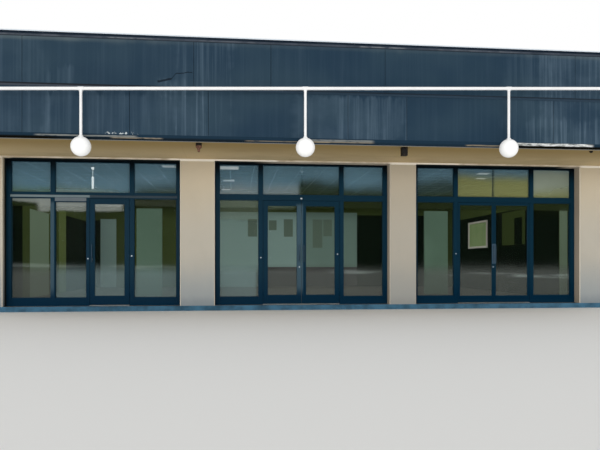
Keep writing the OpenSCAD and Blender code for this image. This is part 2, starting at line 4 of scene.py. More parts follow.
import bmesh
import bpy
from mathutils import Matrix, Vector

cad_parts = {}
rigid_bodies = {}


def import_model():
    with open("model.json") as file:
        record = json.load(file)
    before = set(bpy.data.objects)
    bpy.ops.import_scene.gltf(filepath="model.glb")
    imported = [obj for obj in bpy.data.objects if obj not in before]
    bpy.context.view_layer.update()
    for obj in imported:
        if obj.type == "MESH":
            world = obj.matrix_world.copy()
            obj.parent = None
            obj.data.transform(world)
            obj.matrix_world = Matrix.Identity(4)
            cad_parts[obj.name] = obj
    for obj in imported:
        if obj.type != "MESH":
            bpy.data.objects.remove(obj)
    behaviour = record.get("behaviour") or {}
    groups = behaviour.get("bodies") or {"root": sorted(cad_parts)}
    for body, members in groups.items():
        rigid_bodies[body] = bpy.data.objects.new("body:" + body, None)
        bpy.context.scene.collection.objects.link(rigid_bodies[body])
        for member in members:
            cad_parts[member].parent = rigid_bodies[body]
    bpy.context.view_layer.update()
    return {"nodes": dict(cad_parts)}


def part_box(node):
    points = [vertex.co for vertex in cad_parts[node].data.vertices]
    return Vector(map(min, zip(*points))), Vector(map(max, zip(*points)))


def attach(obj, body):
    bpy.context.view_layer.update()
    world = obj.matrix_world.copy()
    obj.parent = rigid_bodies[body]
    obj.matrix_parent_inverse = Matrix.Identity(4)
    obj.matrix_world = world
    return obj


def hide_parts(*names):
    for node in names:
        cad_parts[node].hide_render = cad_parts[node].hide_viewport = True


for stray in list(bpy.data.objects):  # the start-up file's own objects
    bpy.data.objects.remove(stray)

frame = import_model()
nodes = frame["nodes"]
print("frame loaded,", len(nodes), "nodes")


# Shader helpers
class Wire:
    # a socket in a node tree: sums on it add Math nodes
    def __init__(self, owner, socket):
        self.owner = owner
        self.socket = socket

    def math(self, operation, first, second=0.0):
        return self.owner.node("Math", {"operation": operation}, {0: first, 1: second})

    def __add__(self, other):
        return self.math("ADD", self, other)

    def __radd__(self, other):
        return self.math("ADD", other, self)

    def __sub__(self, other):
        return self.math("SUBTRACT", self, other)

    def __rsub__(self, other):
        return self.math("SUBTRACT", other, self)

    def __mul__(self, other):
        return self.math("MULTIPLY", self, other)

    def __rmul__(self, other):
        return self.math("MULTIPLY", other, self)

    def __gt__(self, other):
        return self.math("GREATER_THAN", self, other)

    def __lt__(self, other):
        return self.math("LESS_THAN", self, other)

    def __abs__(self):
        return self.math("ABSOLUTE", self)


class Tree:
    # the node tree of a material or world; node() adds a node: its settings first, then its sockets
    def __init__(self, holder):
        holder.use_nodes = True
        self.tree = holder.node_tree
        self.tree.nodes.clear()

    def node(self, kind, settings=None, inputs=None, out=0):
        made = self.tree.nodes.new("ShaderNode" + kind)
        for name, value in (settings or {}).items():
            setattr(made, name, value)
        for name, value in (inputs or {}).items():
            if isinstance(value, Wire):
                self.tree.links.new(value.socket, made.inputs[name])
            else:
                made.inputs[name].default_value = value
        return None if out is None else Wire(self, made.outputs[out])


class Finish(Tree):
    # one material: its look, the colour so far, and where a point is on its piece
    def __init__(self, name, look):
        self.material = bpy.data.materials.new(name)
        super().__init__(self.material)
        self.look = {key: tone(*value) if isinstance(value, tuple) else value for key, value in look.items()}
        self.place = self.node("TexCoord", out="Object")
        self.x, self.y, self.z = [self.node("SeparateXYZ", {}, {0: self.place}, axis) for axis in range(3)]

    def mix(self, share, first, second):  # colours, or names of tones in the look
        first, second = [self.look[color] if isinstance(color, str) else color for color in (first, second)]
        return self.node("Mix", {"data_type": "RGBA"}, {0: share, 6: first, 7: second}, 2)

    def start(self, share, first, second):
        self.color = self.mix(share, first, second)

    def coat(self, share, color):  # one more over the colour so far
        self.color = self.mix(share, self.color, color)

    def ease(self, value, low, high):  # 0 at low and 1 at high, also with low above high
        settings = {"interpolation_type": "SMOOTHSTEP"}
        return self.node("MapRange", settings, {0: value, 1: low, 2: high, 3: 0.0, 4: 1.0})

    def within(self, value, low, high, soft):  # 1 between low and high, fading over soft outside
        return self.ease(value, low - soft, low) * self.ease(value, high + soft, high)

    def noise(self, stretch, detail=3.0, rough=0.5, shift=(0, 0, 0)):
        stretch = stretch if isinstance(stretch, tuple) else (stretch,) * 3
        spot = self.node("VectorMath", {"operation": "MULTIPLY_ADD"}, {0: self.place, 1: stretch, 2: shift})
        return self.node("TexNoise", {}, {"Vector": spot, "Scale": 1.0, "Detail": detail, "Roughness": rough})

    def patches(self, low, high, *noise):
        return self.ease(self.noise(*noise), low, high)

    def sway(self, value, reach, *noise):  # a value that wanders
        return value + (self.noise(*noise) - 0.5) * reach

    def facing(self, axis):  # how far the surface faces along an axis, either way
        normal = self.node("TexCoord", out="Normal")
        return abs(self.node("SeparateXYZ", {}, {0: normal}, axis))

    def fold(self, value, pitch):
        return self.node("Math", {"operation": "PINGPONG"}, {0: value, 1: pitch})

    def grooves(self, value, pitch, width, soft=0.002):  # 1 in thin lines every pitch metres
        return self.ease(self.fold(value, pitch / 2), width / 2 + soft, width / 2)

    def bump(self, height, distance, strength, under=None):
        inputs = {"Height": height, "Distance": distance, "Strength": strength}
        if under is not None:
            inputs["Normal"] = under
        return self.node("Bump", {}, inputs)

    def grain(self, stretch, distance, strength, under=None):
        return self.bump(self.noise(stretch, 2.0), distance, strength, under)

    def close(self, roughness, normal=None, **other):
        inputs = {"Base Color": self.color, "Roughness": roughness,
                  "Specular IOR Level": self.look.get("specular", 0.5)}
        inputs.update({name.replace("_", " "): value for name, value in other.items()})
        if normal is not None:
            inputs["Normal"] = normal
        surface = self.node("BsdfPrincipled", {}, inputs)
        self.node("OutputMaterial", {}, {"Surface": surface}, None)
        return self.material


def tone(red, green, blue):  # a colour as a screen shows it, 0 to 255
    def linear(level):
        share = level / 255
        return share / 12.92 if share <= 0.04045 else ((share + 0.055) / 1.055) ** 2.4
    return (linear(red), linear(green), linear(blue), 1.0)


# Finishes
def claddingFinish():
    look = {"deep": (31, 52, 69), "faded": (41, 61, 75), "chalk": (108, 128, 144), "dust": (90, 102, 106),
            "line": (12, 22, 32), "flake": (196, 204, 206), "specular": 0.05}
    # chalky runs: from and to along the front, foot and head, how strong the streaks and the haze are
    runs = [(-7.8, -5.4, 3.5, 4.45, 0.25, 0.06), (-7.8, -5.6, 4.6, 5.6, 0.15, 0.03),
            (-5.35, -4.9, 4.64, 4.9, 0.4, 0.0), (-5.3, -2.4, 3.5, 4.45, 0.25, 0.04),
            (-3.2, -2.6, 4.5, 4.75, 0.4, 0.0), (-2.75, -1.9, 3.5, 5.7, 0.65, 0.02),
            (-0.4, 1.65, 3.5, 4.5, 0.15, 0.08), (0.5, 1.95, 3.5, 4.5, 0.5, 0.0),
            (4.6, 7.8, 3.5, 4.15, 0.8, 0.02), (4.1, 5.0, 3.5, 5.7, 0.25, 0.02),
            (4.8, 7.8, 3.5, 5.7, 0.42, 0.06), (5.1, 7.8, 4.7, 5.7, 0.15, 0.05),
            (5.9, 7.8, 5.1, 5.7, 0.45, 0.05)]
    f = Finish("cladding_paint", look)
    f.start(f.patches(0.35, 0.7, (0.5, 0.5, 0.8), 2.0), "deep", "faded")
    panel = 0.5
    courses = {"fascia_upper": (f.z > courseJoint, 9), "fascia_lower": (f.z < courseJoint, 7)}
    for node, (course, turn) in courses.items():
        for place in seamPlaces(node):
            panel = panel + (f.x > place) * course * (0.3 * math.sin(place * turn))
    f.coat(f.ease(panel, 0.0, 1.0) * 0.35, "faded")
    streaks = f.patches(0.5, 0.72, (22, 22, 0.35), 4.0, 0.6) * 0.5
    streaks = streaks + f.patches(0.5, 0.7, (5, 5, 0.3), 3.0, 0.5, (3.1, 0, 0)) * 0.5
    streaks = streaks + f.patches(0.5, 0.66, (11, 11, 0.25), 3.0, 0.6, (8, 0, 0)) * 0.4
    level = f.sway(f.z, 0.45, (8, 8, 0.01), 2.0, 0.6, (5, 0, 0))
    along = f.sway(f.x, 0.8, (0.8, 0.8, 1.8), 3.0, 0.6, (0, 4, 0))
    run, haze = 0.12, 0.0
    for left, right, low, high, strength, share in runs:
        reach = f.within(along, left, right, 0.2) * f.within(level, low, high, 0.1)
        run = run + reach * strength
        haze = haze + reach * share
    haze = haze * (0.6 + f.patches(0.35, 0.65, (1.6, 1.6, 2.2), 4.0, 0.6, (0, 0, 3)) * 0.8)
    f.coat(haze + streaks * run * 0.45, "chalk")
    under = f.ease(f.z, bandFoot - 0.16, bandFoot) * f.patches(0.45, 0.7, (2.2, 2.2, 1.0))
    ends = 0.15 + f.ease(abs(f.x - 0.4), 4.2, 5.2) * 0.25 + f.ease(f.x, -4.4, -5.2) * 0.12
    ends = ends * f.ease(f.z, bandFoot - 0.1, bandFoot - 0.02)
    f.coat(under * 0.25 + ends, "dust")
    torn = f.patches(0.54, 0.6, (14, 14, 16), 4.0, 0.7, (2, 0, 5)) * f.within(f.x, -4.2, -3.62, 0.05)
    f.coat(torn * f.within(f.z, fasciaFoot + 0.09, fasciaFoot + 0.15, 0.01), "flake")
    crackLine = 4.75
    for start, end, rise in ((-3.21, -2.96, 0.05), (-2.97, -2.84, 0.12), (-2.84, -2.56, 0.03)):
        crackLine = crackLine + f.ease(f.x, start, end) * rise
    crackLine = f.sway(crackLine, 0.05, (12, 1, 1), 3.0, 0.7)
    gap = 0.009 + f.ease(f.x, -2.9, -3.0) * 0.011
    crack = (abs(f.z - crackLine) < gap) * f.within(f.x, -3.21, -2.54, 0.02)
    f.coat(crack * 0.85, "line")
    waves = f.bump(f.noise((1.2, 1.2, 0.9), 1.0), 0.02, 0.35)
    grain = f.bump(streaks + f.noise((90, 90, 30)) * 0.4 - crack * 3, 0.0015, 0.5, waves)
    return f.close(0.42 + streaks * run * 0.25 + f.noise(4) * 0.15, grain)


def renderFinish(name, look):
    # painted render, lighter and warm above as painted light, and darker and bluish at the foot as painted
    # shade
    f = Finish(name, look)
    cloud = f.noise((0.9, 0.9, 0.7), 4.0, 0.6)
    # the lighter, warmer top is painted light
    f.start(f.ease(f.z + (cloud - 0.5) * 0.6, *look["warm"]), "middle", "top")
    f.coat(f.ease(cloud, 0.4, 0.75) * 0.22, "stain")
    # the darker, bluish foot is painted shade
    f.coat(f.ease(f.sway(f.z, 0.3, (3, 3, 1.5), 4.0), *look["footShade"]) * look["footShadeShare"], "foot")
    f.coat(f.ease(f.sway(f.z, 0.14, (7, 7, 3), 4.0), 0.4, 0.13) * 0.55, "splash")
    drips = f.patches(0.55, 0.75, (9, 9, 0.3), 3.0, 0.6) * f.ease(f.z, *look["drip"])
    f.coat(drips * look["dripShare"], "stain")
    # the eased arrises are lighter: a painted highlight
    f.coat(f.ease(f.facing(0) * f.facing(1), 0.2, 0.45), "edge")
    # darker across x 2.0 to 2.8, in the stain tone
    f.coat(f.within(f.x, 2.0, 2.8, 0.1) * look["dull"], "stain")
    f.coat(f.patches(0.76, 0.82, 11, 1.0, 0.5, (5, 1, 2)) * 0.35, "splash")
    return f


def stipple(f):
    trowel = f.bump(f.noise(6), 0.006, 0.35)
    return f.bump(f.noise(140, 2.0, 0.6), 0.0016, 0.55, trowel)


def pierFinish():
    look = {"top": (204, 191, 167), "middle": (186, 180, 167), "foot": (150, 157, 160),
            "stain": (164, 158, 146), "splash": (120, 130, 136), "edge": (228, 219, 203),
            "revealShade": (22, 28, 30), "warmReveal": (184, 172, 156), "warm": [1.6, 3.4], "footShade": [1.5, 0.25],
            "drip": [3.1, 3.6], "footShadeShare": 0.85, "dripShare": 0.1, "dull": 0.45, "reach": 7.1,
            "specular": 0.15}
    f = renderFinish("pier_render", look)
    # the returns beside the frames and the soffit over them carry painted shade: dark, warmer at the right
    # end
    warm = f.ease(f.x, 6.4, 6.8) + f.within(f.x, 2.0, 2.2, 0.02)
    warm = warm + f.within(f.x, -0.6, 1.9, 0.7) * f.ease(f.z, 3.4, 3.5)
    outer = frameFront - 0.225 + f.ease(f.x, -6.7, -6.9) * 0.1
    shadow = f.ease(f.y - outer, -0.012, 0.012) * f.ease(f.y, frameFront + 0.11, frameFront + 0.1)
    f.coat(shadow * (abs(f.x) < look["reach"]), f.mix(warm, "revealShade", "warmReveal"))
    return f.close(0.86 + f.noise(5) * 0.08, stipple(f))


def wallFinish():
    # the shell's walls: render outside, and inside paint with pale panels, dim stretches and near-black
    # painted shade for the dark depths of the shop
    look = {"top": (186, 175, 152), "middle": (187, 180, 164), "foot": (158, 160, 158),
            "stain": (136, 130, 118), "splash": (116, 120, 118), "edge": (190, 182, 164), "warm": [1.6, 4.6],
            "footShade": [1.2, 0.2], "drip": [3.6, 5.1], "footShadeShare": 0.8, "dripShare": 0.5, "dull": 0.0,
            "specular": 0.05, "dim": (74, 88, 44), "pale": (156, 180, 152), "cool": (176, 210, 202),
            "mid": (126, 144, 82), "dark": (3, 5, 3), "poster": (128, 150, 134), "soft": (146, 176, 164),
            "brown": (84, 80, 84), "head": 3.6, "side": 7.62, "back": 5.745, "turn": 5.7}
    # from and to along each wall, foot, head and tone; the dark tone is painted shade
    left = [(-5.0, -2.65, 0.12, 2.8, "dark"), (-2.0, -0.15, 0.12, 2.7, "pale"),
            (1.0, 1.9, 0.12, 2.95, "mid"), (1.9, 5.8, 0.12, 2.8, "dark")]
    back = [(-7.7, -7.22, 0.12, 2.9, "dark"), (-7.22, -6.6, 0.12, 2.95, "cool"),
            (-2.3, 3.6, 0.12, 3.3, "cool"), (3.6, 7.6, 0.12, 3.2, "dark"), (-0.6, 3.6, 0.12, 0.95, "brown"),
            (1.0, 3.6, 0.97, 3.3, "soft"), (-1.11, -0.73, 2.27, 3.0, "poster"),
            (-0.21, 0.1, 2.55, 2.95, "poster"), (0.43, 0.8, 2.27, 3.0, "poster"),
            (1.68, 2.08, 1.8, 3.0, "poster"), (2.14, 2.5, 2.3, 3.0, "poster")]
    right = [(-3.8, 4.6, 0.12, 2.9, "dark"), (-1.7, 0.0, 1.75, 2.85, "dim"),
             (-1.5, -0.95, 1.75, 2.62, "dark"), (-4.25, -3.85, 0.12, 2.7, "pale")]
    f = renderFinish("wall_render", look)
    cloud = f.noise(0.8, 4.0, 0.6)
    paint = f.mix(cloud * 0.3, "dim", "mid")
    front, rear = f.y < look["turn"], f.y > look["turn"]
    walls = [(f.y, (f.x < 0) * front, left), (f.x, rear, back), (f.y, (f.x > 0) * front, right)]
    for along, wall, zones in walls:
        for low, high, foot, head, shade in zones:
            share = f.within(along, low, high, 0.02) * f.within(f.z, foot, head, 0.02) * wall
            paint = f.mix(share, paint, shade)
    f.coat((abs(f.x) < look["side"]) * (f.y < look["back"]) * (f.z < look["head"]), paint)
    return f.close(0.88 + cloud * 0.04, stipple(f))


def slabFinish():
    look = {"edge": (68, 112, 138), "dark": (44, 78, 98), "floor": (118, 112, 104), "worn": (98, 92, 85),
            "joint": (70, 66, 62), "tile": 0.6, "specular": 0.3}
    f = Finish("slab_concrete", look)
    edge = f.mix(f.patches(0.35, 0.7, 2.5, 4.0, 0.6), "edge", "dark")
    floor = f.mix(f.patches(0.35, 0.7, (0.7, 0.7, 1), 4.0, 0.6), "floor", "worn")
    joints = f.grooves(f.x, look["tile"], 0.004) + f.grooves(f.y, look["tile"], 0.004)
    top = f.ease(f.facing(2), 0.4, 0.7)
    f.start(top, edge, f.mix(joints * 0.7, floor, "joint"))
    normal = f.bump(f.noise(60, 3.0, 0.6) * (1.2 - top) - joints * top, 0.002, 0.5)
    return f.close(0.85 - top * 0.5 + f.noise(6) * 0.12, normal)


def feltFinish():
    look = {"felt": (112, 112, 110), "light": (136, 135, 131), "lap": (80, 80, 80), "roll": 1.0,
            "specular": 0.2}
    f = Finish("roof_felt", look)
    grit = f.noise(180, 2.0, 0.7)
    ponds = f.noise(0.7, 6.0, 0.65, (2, 4, 0))
    f.start(f.ease(ponds, 0.42, 0.62) * 0.6, "felt", "light")
    f.coat(f.patches(0.5, 0.72, (5, 1.6, 3), 5.0, 0.7) * 0.3, "lap")
    f.coat(f.ease(grit, 0.3, 0.7) * 0.4, "lap")
    laps = f.grooves(f.sway(f.y, 0.03, (0.8, 4, 1), 2.0), look["roll"], 0.012, 0.006)
    f.coat(laps * 0.8, "lap")
    normal = f.bump(grit, 0.002, 0.6, f.bump(laps * -1.0 + ponds * 2, 0.006, 0.7))
    return f.close(0.9 + grit * 0.08, normal)


def sheetFinish(name, base, worn, rough, specular=0.4, metallic=0.0, wear=0.4):
    # painted or plain sheet metal: uneven paint, rub marks and a little orange peel
    f = Finish(name, {"base": base, "worn": worn, "specular": specular})
    cloud = f.noise(2, 4.0, 0.6)
    rubs = f.patches(0.55, 0.75, (14, 14, 3), 4.0, 0.65)
    f.start(f.ease(cloud, 0.4, 0.7) * wear + rubs * wear * 0.4, "base", "worn")
    normal = f.grain(70, 0.0008, 0.3, f.bump(cloud, 0.004, 0.25))
    return f.close(rough + rubs * 0.15, normal, Metallic=metallic)


def backingFinish():
    # board seen from the roof, and its front painted near-black where it shows in the joints of the cladding:
    # painted shade
    look = {"board": (150, 152, 150), "worn": (118, 118, 114), "jointShade": (16, 22, 28), "specular": 0.1}
    f = Finish("backing_board", look)
    cloud = f.noise(2, 4.0, 0.6)
    f.start(f.ease(cloud, 0.4, 0.7) * 0.4, "board", "worn")
    # the front face is near-black: painted shade in the cladding joints
    f.coat(f.ease(f.y, fasciaBack + 0.004, fasciaBack + 0.001), "jointShade")
    return f.close(0.85 + cloud * 0.05, f.grain(70, 0.0008, 0.3))


def railFinish():
    # white gloss paint, with the brackets behind the rail in the cladding's dark blue
    look = {"white": (238, 238, 238), "grey": (216, 218, 219), "bracket": (34, 54, 70), "specular": 0.3}
    f = Finish("rail_paint", look)
    cloud = f.noise(3)
    f.start(f.ease(cloud, 0.45, 0.75) * 0.3, "white", "grey")
    f.coat(f.ease(f.y, railBack + 0.001, railBack + 0.004) * (f.z > fasciaFoot), "bracket")
    return f.close(0.32 + cloud * 0.1, f.grain(70, 0.0006, 0.3))


def trimFinish():
    # pale over the piers, and a patchy dull tan over the bays that is painted shade
    look = {"pale": (252, 247, 236), "tan": (166, 146, 112), "specular": 0.3}
    f = Finish("trim_paint", look)
    wear = f.noise((2.5, 2.5, 6), 4.0, 0.65)
    bays = f.ease(f.z, 3.5, 3.52) * (f.y < frameFront)
    worn = 0.0
    for left, right in ((-6.95, -3.3), (-0.6, 2.0), (3.9, 6.9)):
        worn = worn + f.within(f.x, left, right, 0.15)
    # the tan over the bays is painted shade, made patchy with noise
    f.start(worn * bays * (0.35 + f.ease(wear, 0.35, 0.65) * 0.4), "pale", "tan")
    return f.close(0.55 + wear * 0.15, f.bump(wear, 0.001, 0.4))


def lampFinish():
    # rusty brown on the left lamp, black on the others
    look = {"black": (20, 19, 18), "worn": (64, 52, 40), "rust": (116, 82, 66), "specular": 0.15}
    f = Finish("lamp_paint", look)
    rust = f.noise(30, 4.0, 0.65)
    f.start(f.ease(rust, 0.45, 0.7) * 0.4, "black", "worn")
    rusty = (f.x < -0.5) * f.ease(f.z, fasciaFoot - 0.03, fasciaFoot - 0.06)
    f.coat(rusty * (0.5 + f.ease(rust, 0.4, 0.6) * 0.5), "rust")
    return f.close(0.5 + rust * 0.2, f.bump(rust, 0.0006, 0.4))


def bandFinish():
    look = {"base": (56, 64, 76), "dark": (40, 50, 62), "pale": (112, 116, 120), "line": (16, 26, 36),
            "specular": 0.25}
    # pale runs: from and to along the front, and how strong
    runs = [(-4.3, -3.3, 0.7), (0.95, 1.75, 0.8), (-6.3, -5.2, 0.3), (2.6, 4.2, 0.3), (-2.4, -1.3, 0.25)]
    f = Finish("band_metal", look)
    cloud = f.noise(3, 4.0, 0.65)
    f.start(f.ease(cloud, 0.35, 0.65), "base", "dark")
    pale = 0.05
    for left, right, strength in runs:
        pale = pale + f.within(f.x, left, right, 0.15) * strength
    flakes = f.patches(0.35, 0.65, (6, 6, 22), 4.0, 0.6)
    flakes = flakes * f.within(f.z, bandFoot + 0.018, bandFoot + 0.036, 0.006)
    f.coat(pale * flakes, "pale")
    # the dark line at the band's foot is a painted shadow
    f.coat(f.ease(f.z, bandFoot + 0.014, bandFoot + 0.008) * 0.8, "line")
    return f.close(0.6 + cloud * 0.2, f.bump(flakes, 0.0015, 0.6))


def dripFinish():
    look = {"base": (29, 48, 63), "edge": (14, 13, 8), "grey": (132, 134, 130), "warm": (138, 126, 106),
            "white": (214, 216, 216), "specular": 0.02}
    # where the paint is off: from and to along the front, foot and head over the edge, and how strongly
    peels = [(-5.5, -3.7, 0.058, 0.08, 0.8), (-4.05, -3.2, 0.03, 0.048, 0.8), (-1.4, 0.2, 0.022, 0.036, 0.5),
             (-0.1, 1.1, 0.03, 0.085, 0.7), (3.2, 4.1, 0.02, 0.04, 0.7), (4.15, 5.9, 0.052, 0.1, 1.0)]
    f = Finish("drip_paint", look)
    height = f.sway(f.z - fasciaFoot, 0.016, 3, 4.0, 0.6, (2, 0, 0))
    peel = 0.0
    for left, right, low, high, strength in peels:
        peel = peel + f.within(f.x, left, right, 0.12) * f.within(height, low, high, 0.008) * strength
    torn = f.patches(0.3, 0.5, (4, 4, 26), 4.0, 0.7, (0.3, 0, 0))
    bright = f.patches(0.4, 0.58, (6, 6, 30), 4.0, 0.7, (7, 0, 0)) * f.ease(f.x, 3.9, 4.3)
    dark = 0.65 + f.ease(f.x, -4.8, -5.4) * 0.35 + f.ease(f.x, 4.0, 4.4) * 0.35
    dark = dark - f.within(f.x, -1.2, 3.8, 0.3) * 0.35
    f.start(f.ease(height, 0.07, 0.03) * dark, "base", "edge")
    f.coat(peel * torn, f.mix(f.ease(height, 0.055, 0.035), "grey", "warm"))
    f.coat(peel * torn * bright, "white")
    return f.close(0.7 + torn * 0.2, f.bump(torn * peel * -1.0, 0.0012, 0.7))


def flashingFinish():
    look = {"left": (54, 62, 72), "right": (34, 54, 70), "worn": (84, 86, 88), "line": (6, 16, 26),
            "specular": 0.2}
    f = Finish("flashing_paint", look)
    wear = f.noise((5, 5, 12), 4.0, 0.65)
    share = f.ease(f.x + (wear - 0.5) * 1.5, -2.6, -3.6)
    f.start(share, "right", "left")
    f.coat(f.ease(wear, 0.5, 0.75) * share * 0.4, "worn")
    f.coat(f.ease(f.z, courseJoint - 0.012, courseJoint - 0.006) * (0.6 + share * 0.4), "line")
    return f.close(0.6 + wear * 0.1, f.bump(wear, 0.001, 0.5))


def soffitFinish():
    look = {"front": (150, 128, 82), "wall": (204, 182, 142), "joint": (130, 110, 76),
            "stain": (144, 123, 85), "board": 2.4, "specular": 0.2}
    f = Finish("soffit_render", look)
    f.start(f.ease(f.y, -8.0, -6.2), "front", "wall")
    f.coat(f.patches(0.45, 0.75, (0.8, 1.4, 1), 4.0, 0.6) * 0.3, "stain")
    joints = f.grooves(f.x + 0.4, look["board"], 0.006, 0.003)
    f.coat(joints * 0.2, "joint")
    return f.close(0.85 + joints * 0.1, f.grain(80, 0.0012, 0.5, f.bump(joints * -1.0, 0.001, 0.3)))


def frameFinish():
    look = {"head": (4, 14, 20), "middle": (11, 44, 61), "foot": (0, 38, 60), "rub": (22, 58, 80),
            "pale": (84, 108, 120), "specular": 0.03}
    f = Finish("frame_paint", look)
    # the near-black head is painted shade under the soffit
    f.start(f.ease(f.z, 3.5, 3.1), "head", "middle")
    f.coat(f.ease(f.z, 0.9, 0.25), "foot")
    rubs = f.patches(0.56, 0.78, (26, 26, 5), 4.0, 0.65)
    f.coat(rubs * 0.3, "rub")
    # pale strips on the mullion near x -6.0 and on the middle bay's meeting stiles are painted highlights
    worn = f.within(f.x, -6.02, -5.9, 0.01) * 0.45 + f.within(f.x, -0.19, -0.03, 0.01) * 0.5
    f.coat(worn * f.ease(f.z, 0.3, 0.6) * f.ease(f.z, 2.6, 2.5), "pale")
    dust = f.ease(f.sway(f.z, 0.1, (12, 12, 4)), 0.22, 0.12)
    f.coat(dust * 0.2, "rub")
    return f.close(0.36 + rubs * 0.2 + dust * 0.3, f.grain(220, 0.0004, 0.3))


def coverFinish():
    # pale up to the single door and dark past it
    f = Finish("cover_metal", {"pale": (114, 130, 134), "dark": (26, 44, 54), "worn": (84, 100, 110),
                               "specular": 0.2})
    wear = f.noise((6, 6, 20), 4.0, 0.6)
    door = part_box("door_left")[0].x
    f.start(f.ease(f.x, door - 0.02, door + 0.01), "pale", "dark")
    f.coat(wear * 0.3, "worn")
    return f.close(0.5 + wear * 0.1, f.bump(wear, 0.001, 0.4))


def brushedFinish(name, base, dull, rough):
    f = Finish(name, {"base": base, "dull": dull})
    smears = f.patches(0.4, 0.7, 8, 4.0)
    f.start(smears * 0.5, "base", "dull")
    normal = f.bump(f.noise((30, 900, 900), 2.0, 0.6), 0.0003, 0.35)
    return f.close(rough + smears * 0.15, normal, Metallic=0.9)


def glassFinish():
    # tinted panes with painted reflections: a soft veil of pale sky above the bars and of dim ground below
    # them
    look = {"sky": (104, 143, 163), "skyFoot": (96, 122, 92), "green": (150, 156, 104),
            "pale": (176, 186, 166), "shade": (38, 48, 26), "middle": (30, 44, 32), "ground": (92, 98, 94),
            "cool": (112, 131, 132), "lowSky": (154, 162, 158), "clear": (142, 159, 166),
            "deep": (36, 50, 24), "soft": (98, 113, 97), "glint": (170, 184, 180), "specular": 0.02,
            "upperAlpha": 0.5, "lowerAlpha": 0.12}
    # painted reflections drifting in the upper panes: from and to along the front, where they start, how
    # strong, and tone
    drifts = [(-5.9, -4.2, 3.0, 0.6, "clear"), (-2.3, -0.15, 3.15, 0.85, "clear"),
              (-3.95, -2.9, 3.25, 0.6, "deep"), (-0.05, 0.85, 3.3, 0.9, "deep"), (0.9, 2.2, 3.2, 0.8, "deep"),
              (2.7, 3.85, 3.35, 0.8, "deep"), (3.9, 5.8, 3.5, 1.0, "green"), (5.95, 7.0, 3.7, 0.85, "pale"),
              (5.95, 7.0, 3.15, 0.8, "green")]
    # painted reflections veiling the head of the lower panes: from and to, foot, how strong, how much less
    # clear, and tone
    veils = [(-6.9, -6.3, 2.62, 0.75, 0.2, "lowSky"), (-6.2, -4.4, 2.42, 0.9, 0.38, "lowSky"),
             (-2.2, -1.1, 2.2, 0.8, 0.17, "soft"), (-0.95, -0.3, 2.44, 0.55, 0.1, "soft")]
    f = Finish("tinted_glass", look)
    cloud = f.noise((0.9, 1, 0.6), 4.0, 0.55)
    height = f.z + (cloud - 0.5) * 0.3
    cool = f.within(f.x, -5.9, -3.0, 0.1) + f.within(f.x, -2.1, -1.2, 0.05)
    # below the bars: painted reflections of dim ground with a painted glint line, and painted shade at the
    # head of the lower panes
    f.start(f.ease(height, 1.25, 0.85), "middle", f.mix(cool, "ground", "cool"))
    line = f.within(f.z + f.x * 0.022, 0.91, 0.96, 0.04) * (0.5 + f.ease(f.x, 4.0, 5.0) * 0.4)
    f.coat(f.patches(0.45, 0.65, (0.7, 1, 9), 3.0, 0.5, (4, 0, 0)) * line, "glint")
    f.coat(f.ease(height, 2.2, 2.5), "shade")
    head = f.within(f.z, 2.5, 2.68, 0.06)
    added = head * 0.62
    for left, right, foot, strength, milk, shade in veils:
        veil = f.within(f.x, left, right, 0.15) * f.within(height, foot, 2.8, 0.08)
        f.coat(veil * strength, shade)
        added = added + veil * (milk - head * milk)
    level = height - (f.noise((0.7, 1, 0.7), 2.0, 0.5, (1.3, 0, 0)) - 0.5) * 0.3
    upper = f.mix(f.ease(level, 3.0, 2.7), "sky", "skyFoot")
    for left, right, top, strength, shade in drifts:
        share = f.within(f.x, left, right, 0.15) * f.ease(level, top, top - 0.35)
        upper = f.mix(share * strength, upper, shade)
    transom = f.ease(f.z, 2.68, 2.74)
    f.coat(transom, upper)
    alpha = look["lowerAlpha"] + transom * (look["upperAlpha"] - look["lowerAlpha"] + (cloud - 0.5) * 0.3)
    alpha = alpha + f.ease(f.z, 1.15, 0.8) * 0.36 + added
    return f.close(0.03 + f.ease(cloud, 0.5, 0.8) * 0.03, Alpha=alpha)


def opalFinish():
    f = Finish("opal_glass", {"white": (240, 240, 239), "shade": (228, 229, 229), "glow": (255, 254, 250),
                              "dim": (240, 240, 238)})
    cloud = f.noise(6)
    f.start(cloud * 0.3, "white", "shade")
    glow = f.mix(cloud * 0.3, "glow", "dim")
    return f.close(0.18 + cloud * 0.1, Emission_Color=glow, Emission_Strength=0.12)


def boardFinish(name, base, shade):
    f = Finish(name, {"base": base, "shade": shade, "specular": 0.2})
    cloud = f.noise(0.8, 4.0, 0.6)
    f.start(f.ease(cloud, 0.4, 0.7) * 0.5, "base", "shade")
    return f.close(0.85 + cloud * 0.1, f.grain(60, 0.0008, 0.4))


def ceilingFinish():
    f = Finish("ceiling_board", {"board": (116, 118, 106), "shade": (88, 88, 78), "specular": 0.1})
    pits = f.patches(0.6, 0.7, 170, 2.0, 0.6)
    cloud = f.noise(0.6)
    f.start(pits * 0.4 + f.ease(cloud, 0.5, 0.8) * 0.2, "board", "shade")
    return f.close(0.92 - cloud * 0.05, f.bump(pits * -1.0, 0.0015, 0.6))


def lightFinish(name, strength):
    f = Finish(name, {"panel": (235, 235, 230), "dim": (236, 240, 236), "bright": (255, 255, 250)})
    ribs = f.fold(f.y, 0.01) * 60.0
    f.color = f.look["panel"]
    glow = f.mix(ribs, "dim", "bright")
    return f.close(0.5 + ribs * 0.05, Emission_Color=glow, Emission_Strength=strength)


